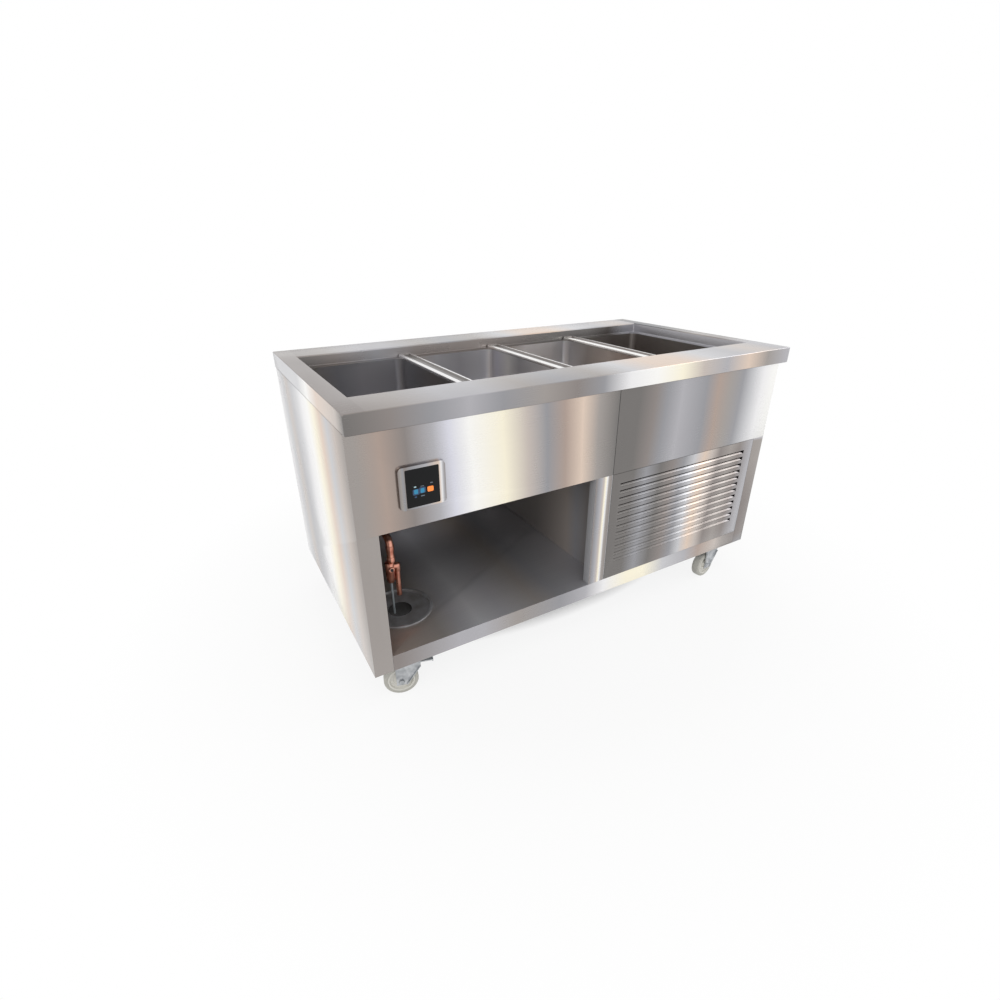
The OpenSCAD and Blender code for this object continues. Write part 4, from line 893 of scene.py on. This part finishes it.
class SALADBAR_OT_body_panels(bpy.types.Operator):
    """Round the cut edges of the body's sheet parts and polish them"""

    bl_idname = "saladbar.body_panels"
    bl_label = "Body Panels"

    def execute(self, context):
        settings = make_finishes(context)
        edge = settings.sheet.edge
        # The seam between the two fascias is thin, so their edges are sharper
        seam = edge / 3
        pieces = dress((
            ("left_panel", "left_end_panel", edge, "left_panel", "polished_steel"),
            ("right_panel", "right_end_panel", edge, "right_panel", "polished_steel"),
            ("back_panel", "back_sheet", edge, "back_panel", "polished_steel"),
            ("left_fascia", "left_upper_panel", seam, "left_fascia", "polished_steel"),
            ("right_fascia", "right_upper_panel", seam, "right_fascia", "polished_steel"),
            ("centre_post", "centre_upright", edge, "centre_post", "polished_steel"),
            ("partition", "bay_partition", edge, "partition", "brushed_steel"),
            ("base_deck", "storage_deck_and_skirt", edge, "deck", "brushed_steel"),
            ("louvre_panel", "louvred_lift_off_panel", edge, "louvre_panel", "polished_steel"),
            ("well_deck", "well_ledge", edge, "ledge", "polished_steel"),
            ("base_frame", "base_channel_frame", edge, "galvanised", "galvanised"),
        ))
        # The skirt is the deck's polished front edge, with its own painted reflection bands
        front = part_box("left_fascia")[0].y + SLACK
        second_finish(pieces["base_deck"], "skirt", lambda f: middle(f).y < front)
        # The return that faces the bay is as dull as the partition and takes its painted reflection bands
        second_finish(pieces["centre_post"], "partition", lambda f: f.normal.x < -0.9)
        return {"FINISHED"}


class SALADBAR_OT_control_screen(bpy.types.Operator):
    """Round the bezel, polish the glass and set the lit tiles behind its face"""

    bl_idname = "saladbar.control_screen"
    bl_label = "Control Screen"

    def execute(self, context):
        settings = make_finishes(context)
        side = settings.screen.tile
        dress((("control_bezel", "control_frame", 0.0012, "bezel", "polished_steel"),
               ("control_glass", "touch_glass", 0.0006, "glass", "screen_glass")), 3)
        dress((("control_box", "control_housing", 0.001, "plastic", "dark_plastic"),))
        low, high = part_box("control_glass")
        wide, tall = high.x - low.x, high.z - low.z
        row_z = high.z - TILE_ROW * tall
        # Name, share of the glass's width, height over the row of tiles, width and height, finish
        for name, share, up, size, finish in (
            ("glow_left", 0.29, -0.001, (1.45 * side, 1.35 * side), "deep"),
            ("glow_middle", 0.48, 0.001, (1.45 * side, 1.35 * side), "deep"),
            ("tile_left", 0.29, 0.0, (0.85 * side, side), "cool"),
            ("tile_middle", 0.48, 0.0, (0.85 * side, side), "cool"),
            ("tile_right", 0.72, 0.0, (1.35 * side, 1.15 * side), "warm"),
            ("mark_left", 0.27, 0.013, (0.006, 0.003), "mark"),
            ("mark_middle", 0.48, 0.012, (0.009, 0.002), "dim"),
            ("mark_right", 0.76, 0.016, (0.007, 0.003), "dim"),
            ("mark_low_left", 0.27, -0.014, (0.006, 0.004), "deep"),
            ("mark_low", 0.48, -0.014, (0.010, 0.003), "dim"),
        ):
            x, z = low.x + share * wide, row_z + up
            # A glow lies just behind its tile
            out = GLOW_DEPTH if "glow" in name else TILE_DEPTH
            tile = block(name, (x - size[0] / 2, low.y - out, z - size[1] / 2),
                         (x + size[0] / 2, low.y + TILE_DEPTH, z + size[1] / 2))
            edit(tile)
            pick(tile, "EDGE", lambda e: abs(e.verts[0].co.y - e.verts[1].co.y) > 1e-4)
            bpy.ops.mesh.bevel(offset=min(size) * TILE_ROUNDING, segments=4, affect="EDGES")
            pick(tile, "FACE", lambda f: f.normal.y < -0.9)
            bpy.ops.mesh.inset(thickness=min(size) * TILE_RIM, depth=0)
            done()
            settle(tile, "screen_" + name, finish, "screen_glass", body="counter")
        return {"FINISHED"}


class SALADBAR_OT_drain(bpy.types.Operator):
    """Smooth the copper drain and add the collars at its joints"""

    bl_idname = "saladbar.drain"
    bl_label = "Drain"

    def execute(self, context):
        make_finishes(context)
        pieces = dress((
            ("drain_manifold", "copper_drain_pipe", 0.0, "copper", "copper"),
            ("drain_valve", "copper_drain_valve", 0.0008, "copper", "copper"),
            ("overflow_tube", "copper_overflow_tube", 0.0, "copper", "copper"),
            ("condensate_tube", "condensate_hose", 0.0, "grey_tube", "grey_tube"),
            ("valve_stem", "slotted_valve_stem", 0.0004, "black", "black_enamel"),
            ("drain_dish", "spun_drain_dish", 0.0004, "dish", "brushed_steel"),
            ("drain_fittings", "well_strainers", 0.0004, "well", "brushed_steel"),
        ))
        # Below the bowl, the bore is painted near black as painted shade
        bore_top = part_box("base_deck")[1].z - BORE_DROP
        second_finish(pieces["drain_dish"], "bore", lambda f: middle(f).z < bore_top)
        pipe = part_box("drain_manifold")[0]
        valve_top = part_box("drain_valve")[1].z
        collars = []
        for z in (valve_top + LOW_COLLAR_RISE, HIGH_COLLAR_Z):
            collar = cylinder(40, PIPE_RADIUS + COLLAR_WALL, COLLAR_LENGTH,
                              (pipe.x + PIPE_RADIUS, pipe.y + PIPE_RADIUS, z))
            write_place()
            edit(collar)
            # The collar is open for the pipe
            pick(collar, "FACE", lambda f: abs(f.normal.z) > 0.9)
            bpy.ops.mesh.inset(thickness=COLLAR_INSET, use_individual=True)
            bore(collar)
            round_edges(collar, COLLAR_ROUNDING, 3)
            collars.append(collar)
        only(collars[0])
        collars[1].select_set(True)
        bpy.ops.object.join()
        settle(collars[0], "soldered_pipe_collars", "copper", "copper", body="counter")
        return {"FINISHED"}


class SALADBAR_OT_cooling_unit(bpy.types.Operator):
    """Round the cooling unit's parts and fill the condenser with fins"""

    bl_idname = "saladbar.cooling_unit"
    bl_label = "Cooling Unit"

    def execute(self, context):
        make_finishes(context)
        dress((
            ("unit_tray", "cooling_unit_tray", 0.0006, "galvanised", "galvanised"),
            ("compressor", "compressor_shell", 0.0012, "black", "black_enamel"),
            ("fan_shroud", "condenser_fan_shroud", 0.0005, "black", "black_enamel"),
            ("fan_motor", "condenser_fan_motor", 0.001, "black", "black_enamel"),
            ("fan_blade", "condenser_fan_blade", 0.0004, "plastic", "dark_plastic"),
            ("filter_drier", "copper_filter_drier", 0.0, "copper", "copper"),
            ("refrigerant_lines", "copper_refrigerant_lines", 0.0, "copper", "copper"),
            ("cold_coils", "copper_cold_coils", 0.0, "copper", "copper"),
            ("junction_box", "electrical_junction_box", 0.0015, "paint", "grey_paint"),
            ("cord_gland", "cord_entry_gland", 0.0005, "plastic", "dark_plastic"),
        ))
        low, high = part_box("condenser_coil")
        # The coil's core is finned 3 mm apart, drawn coarser than the real 2 mm
        fin = block("fin", (low.x + FIN_PITCH, low.y - FIN_SET_BACK, low.z + FIN_END_GAP),
                    (low.x + FIN_PITCH + FIN_THICKNESS, high.y - FIN_SET_BACK, high.z - FIN_END_GAP))
        edit(fin)
        pick(fin, "FACE", lambda f: abs(f.normal.x) > 0.9)
        bpy.ops.mesh.inset(thickness=FIN_INSET, depth=0)
        done()
        modify(fin, "ARRAY", count=int(FIN_RUN / FIN_PITCH), use_relative_offset=False,
               use_constant_offset=True, constant_offset_displace=(FIN_PITCH, 0, 0))
        settle(fin, "condenser_fins", "aluminium", "aluminium", body="counter")
        dress((("condenser_coil", "condenser_core", 0.0, "aluminium", "aluminium"),))
        return {"FINISHED"}


def wheel_place(k):
    """Turns a piece modelled about Z into the place of caster k's wheel."""
    low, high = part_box(f"caster_tyre_{k}")
    axis = next(joint["axis"] for joint in frame["joints"] if joint["name"] == f"wheel_spin_{k}")
    yaw = Matrix.Rotation(math.atan2(-axis[0], axis[1]), 4, "Z")
    return Matrix.Translation((low + high) / 2) @ yaw @ Matrix.Rotation(math.radians(90), 4, "X")


class SALADBAR_OT_casters(bpy.types.Operator):
    """Turn the treads and hubs, and round the forks, plates, bolts and pedals"""

    bl_idname = "saladbar.casters"
    bl_label = "Casters"

    def tread(self, casters):
        """A tread with round shoulders, hollow for its hub."""
        piece = cylinder(casters.sides, TREAD_RADIUS, WHEEL_WIDTH)
        edit(piece)
        pick(piece, "EDGE", lambda e: rise(e) < SAME_PLACE)
        bpy.ops.mesh.bevel(offset=casters.shoulder, segments=5, affect="EDGES")
        pick(piece, "FACE", lambda f: abs(f.normal.z) > 0.99 and f.calc_area() > 0.001)
        bpy.ops.mesh.inset(thickness=TREAD_FLANK, depth=0, use_individual=True)
        bpy.ops.mesh.inset(thickness=TREAD_FLANK + TREAD_BEAD - casters.shoulder, depth=-TREAD_DISH,
                           use_individual=True)
        bore(piece)
        smooth(piece, SMOOTH_CURVES)
        return piece

    def hub(self, casters):
        """A hub with a raised rim, a dished web and a boss on each side."""
        piece = cylinder(casters.sides, HUB_RADIUS, WHEEL_WIDTH)
        edit(piece)
        for up in (1, -1):
            pick(piece, "FACE", lambda f: f.normal.z * up > 0.99 and f.calc_area() > 0.003)
            for inset, deep in HUB_STEPS:
                bpy.ops.mesh.inset(thickness=inset, depth=deep)
        done()
        round_edges(piece, HUB_ROUNDING)
        return piece

    def execute(self, context):
        settings = make_finishes(context)
        for node, word, make, slot in (("tyre", "tread", self.tread, "tread"),
                                       ("hub", "hub", self.hub, "wheel_grey")):
            first = make(settings.casters)
            for k in range(1, 5):
                copy = own_copy(first)
                copy.matrix_world = wheel_place(k)
                write_place()
                settle(copy, f"wheel_{word}_{k}", word, slot, f"caster_{node}_{k}")
            bpy.data.objects.remove(first)
        dress([(f"caster_fork_{k}", f"pressed_fork_{k}", 0.0005, "zinc", "galvanised") for k in range(1, 5)])
        dress([(f"brake_pedal_{k}", f"pressed_brake_pedal_{k}", 0.0008, "zinc", "pedal") for k in (1, 2)])
        dress((("caster_plates", "caster_top_plates", 0.0005, "zinc", "galvanised"),
               ("caster_bolts", "caster_plate_bolts", 0.0004, "zinc", "galvanised")))
        return {"FINISHED"}


class SALADBAR_OT_hidden_parts(bpy.types.Operator):
    """Give the parts inside the top their finishes"""

    bl_idname = "saladbar.hidden_parts"
    bl_label = "Parts Inside the Top"

    def execute(self, context):
        make_finishes(context)
        for node, finish in (("insulation", "foam"), ("insulation_casing", "galvanised"),
                             ("heater_pads", "mat")):
            carried = frame["nodes"][node]
            carried.data.materials.clear()
            carried.data.materials.append(FINISHES[finish])
        return {"FINISHED"}


# Stage


class SALADBAR_OT_stage(bpy.types.Operator):
    """Lay the pale floor, hang the soft lights and set up the camera"""

    bl_idname = "saladbar.stage"
    bl_label = "Stage"

    def shown_white(self, tree, kind, lit, share):
        """White for the camera and for reflections, with part of the lit shader left where share is under 1.

        kind is the node that makes the white.
        """
        path = add(tree, "LightPath").outputs
        seen = add(tree, "Math", {0: path["Is Glossy Ray"], 1: path["Is Transmission Ray"]},
                   operation="MAXIMUM").outputs[0]
        camera = add(tree, "Math", {0: path["Is Camera Ray"], 1: share}, operation="MULTIPLY").outputs[0]
        seen = add(tree, "Math", {0: seen, 1: camera}, operation="MAXIMUM").outputs[0]
        white = add(tree, kind, {"Color": (1, 1, 1, 1), "Strength": 1.0}).outputs[0]
        return add(tree, "MixShader", {0: seen, 1: lit, 2: white})

    def execute(self, context):
        stage = context.scene.salad_bar.stage
        scene = context.scene
        bpy.ops.mesh.primitive_plane_add(size=FLOOR_SIZE, location=(0, 0, 0))
        floor = bpy.context.object
        floor.name = "studio_floor"
        material, tree, place = new_finish("pale_floor")
        lit = add(tree, "BsdfDiffuse", {"Color": linear("#f4f4f4")}).outputs[0]
        # The floor keeps part of the counter's shadow near it and whitens from 0.8 to 1.5 m away. Under the
        # counter it stays lit
        far = add(tree, "VectorMath", {0: place}, operation="LENGTH").outputs["Value"]
        share = add(tree, "MapRange", {"Value": far, "From Min": 0.8, "From Max": 1.5, "To Min": 0.86,
                                       "To Max": 1.0}).outputs[0]
        squashed = add(tree, "VectorMath", {0: place, 1: (1.35, 3.2, 1.0)}, operation="MULTIPLY").outputs[0]
        near = add(tree, "VectorMath", {0: squashed}, operation="LENGTH").outputs["Value"]
        under = add(tree, "MapRange", {"Value": near, "From Min": 0.7, "From Max": 1.0}).outputs[0]
        share = add(tree, "Math", {0: share, 1: under}, operation="MULTIPLY").outputs[0]
        surface(tree, self.shown_white(tree, "Emission", lit, share))
        floor.data.materials.append(material)

        world = bpy.data.worlds.new("studio")
        scene.world = world
        world.use_nodes = True
        tree = world.node_tree
        tree.nodes.clear()
        room = add(tree, "Background", {"Color": (1, 1, 1, 1), "Strength": stage.room}).outputs[0]
        shown = self.shown_white(tree, "Background", room, 1.0)
        add(tree, "OutputWorld", {"Surface": shown.outputs[0]})

        for name, place, size, power in (("key_light", (-2.6, -3.4, 3.6), 2.4, stage.key),
                                         ("fill_light", (3.6, -1.6, 2.6), 2.0, stage.fill)):
            data = bpy.data.lights.new(name, "AREA")
            data.size = size
            data.energy = power
            lamp = bpy.data.objects.new(name, data)
            scene.collection.objects.link(lamp)
            lamp.location = place
            lamp.rotation_euler = (Vector(LAMP_AIM) - Vector(place)).to_track_quat("-Z", "Y").to_euler()

        camera = bpy.data.objects.new("photo_camera", bpy.data.cameras.new("photo_camera"))
        scene.collection.objects.link(camera)
        camera.data.lens = stage.lens
        camera.data.sensor_width = 36
        camera.data.shift_x, camera.data.shift_y = CAMERA_SHIFT
        camera.data.clip_start, camera.data.clip_end = 0.05, 100
        camera.matrix_world = Matrix.Translation(CAMERA_PLACE) @ Matrix(CAMERA_TURN).to_4x4()
        scene.camera = camera
        scene.view_settings.view_transform = "Standard"
        return {"FINISHED"}


class SALADBAR_PT_panel(bpy.types.Panel):
    """Lists the salad bar's pieces in the order in which they are made"""

    bl_label = "Salad Bar"
    bl_idname = "SALADBAR_PT_panel"
    bl_space_type = "VIEW_3D"
    bl_region_type = "UI"
    bl_category = "Salad Bar"

    def draw(self, context):
        settings = context.scene.salad_bar
        for group in (settings.sheet, settings.wells, settings.screen, settings.casters, settings.stage):
            box = self.layout.box()
            for key in group.__annotations__:
                box.prop(group, key)
        for operator in OPERATORS:
            self.layout.operator(operator.bl_idname)


OPERATORS = (
    SALADBAR_OT_counter_top,
    SALADBAR_OT_wells,
    SALADBAR_OT_dividers,
    SALADBAR_OT_body_panels,
    SALADBAR_OT_control_screen,
    SALADBAR_OT_drain,
    SALADBAR_OT_cooling_unit,
    SALADBAR_OT_casters,
    SALADBAR_OT_hidden_parts,
    SALADBAR_OT_stage,
)
CLASSES = (SheetSettings, WellSettings, ScreenSettings, CasterSettings, StageSettings, SaladBarSettings,
           *OPERATORS, SALADBAR_PT_panel)


def register():
    for cls in CLASSES:
        bpy.utils.register_class(cls)
    bpy.types.Scene.salad_bar = PointerProperty(type=SaladBarSettings)


def unregister():
    del bpy.types.Scene.salad_bar
    for cls in reversed(CLASSES):
        bpy.utils.unregister_class(cls)


def main():
    """Makes every piece in order."""
    register()
    for operator in OPERATORS:
        group, name = operator.bl_idname.split(".")
        getattr(getattr(bpy.ops, group), name)()


if __name__ == "__main__":
    main()
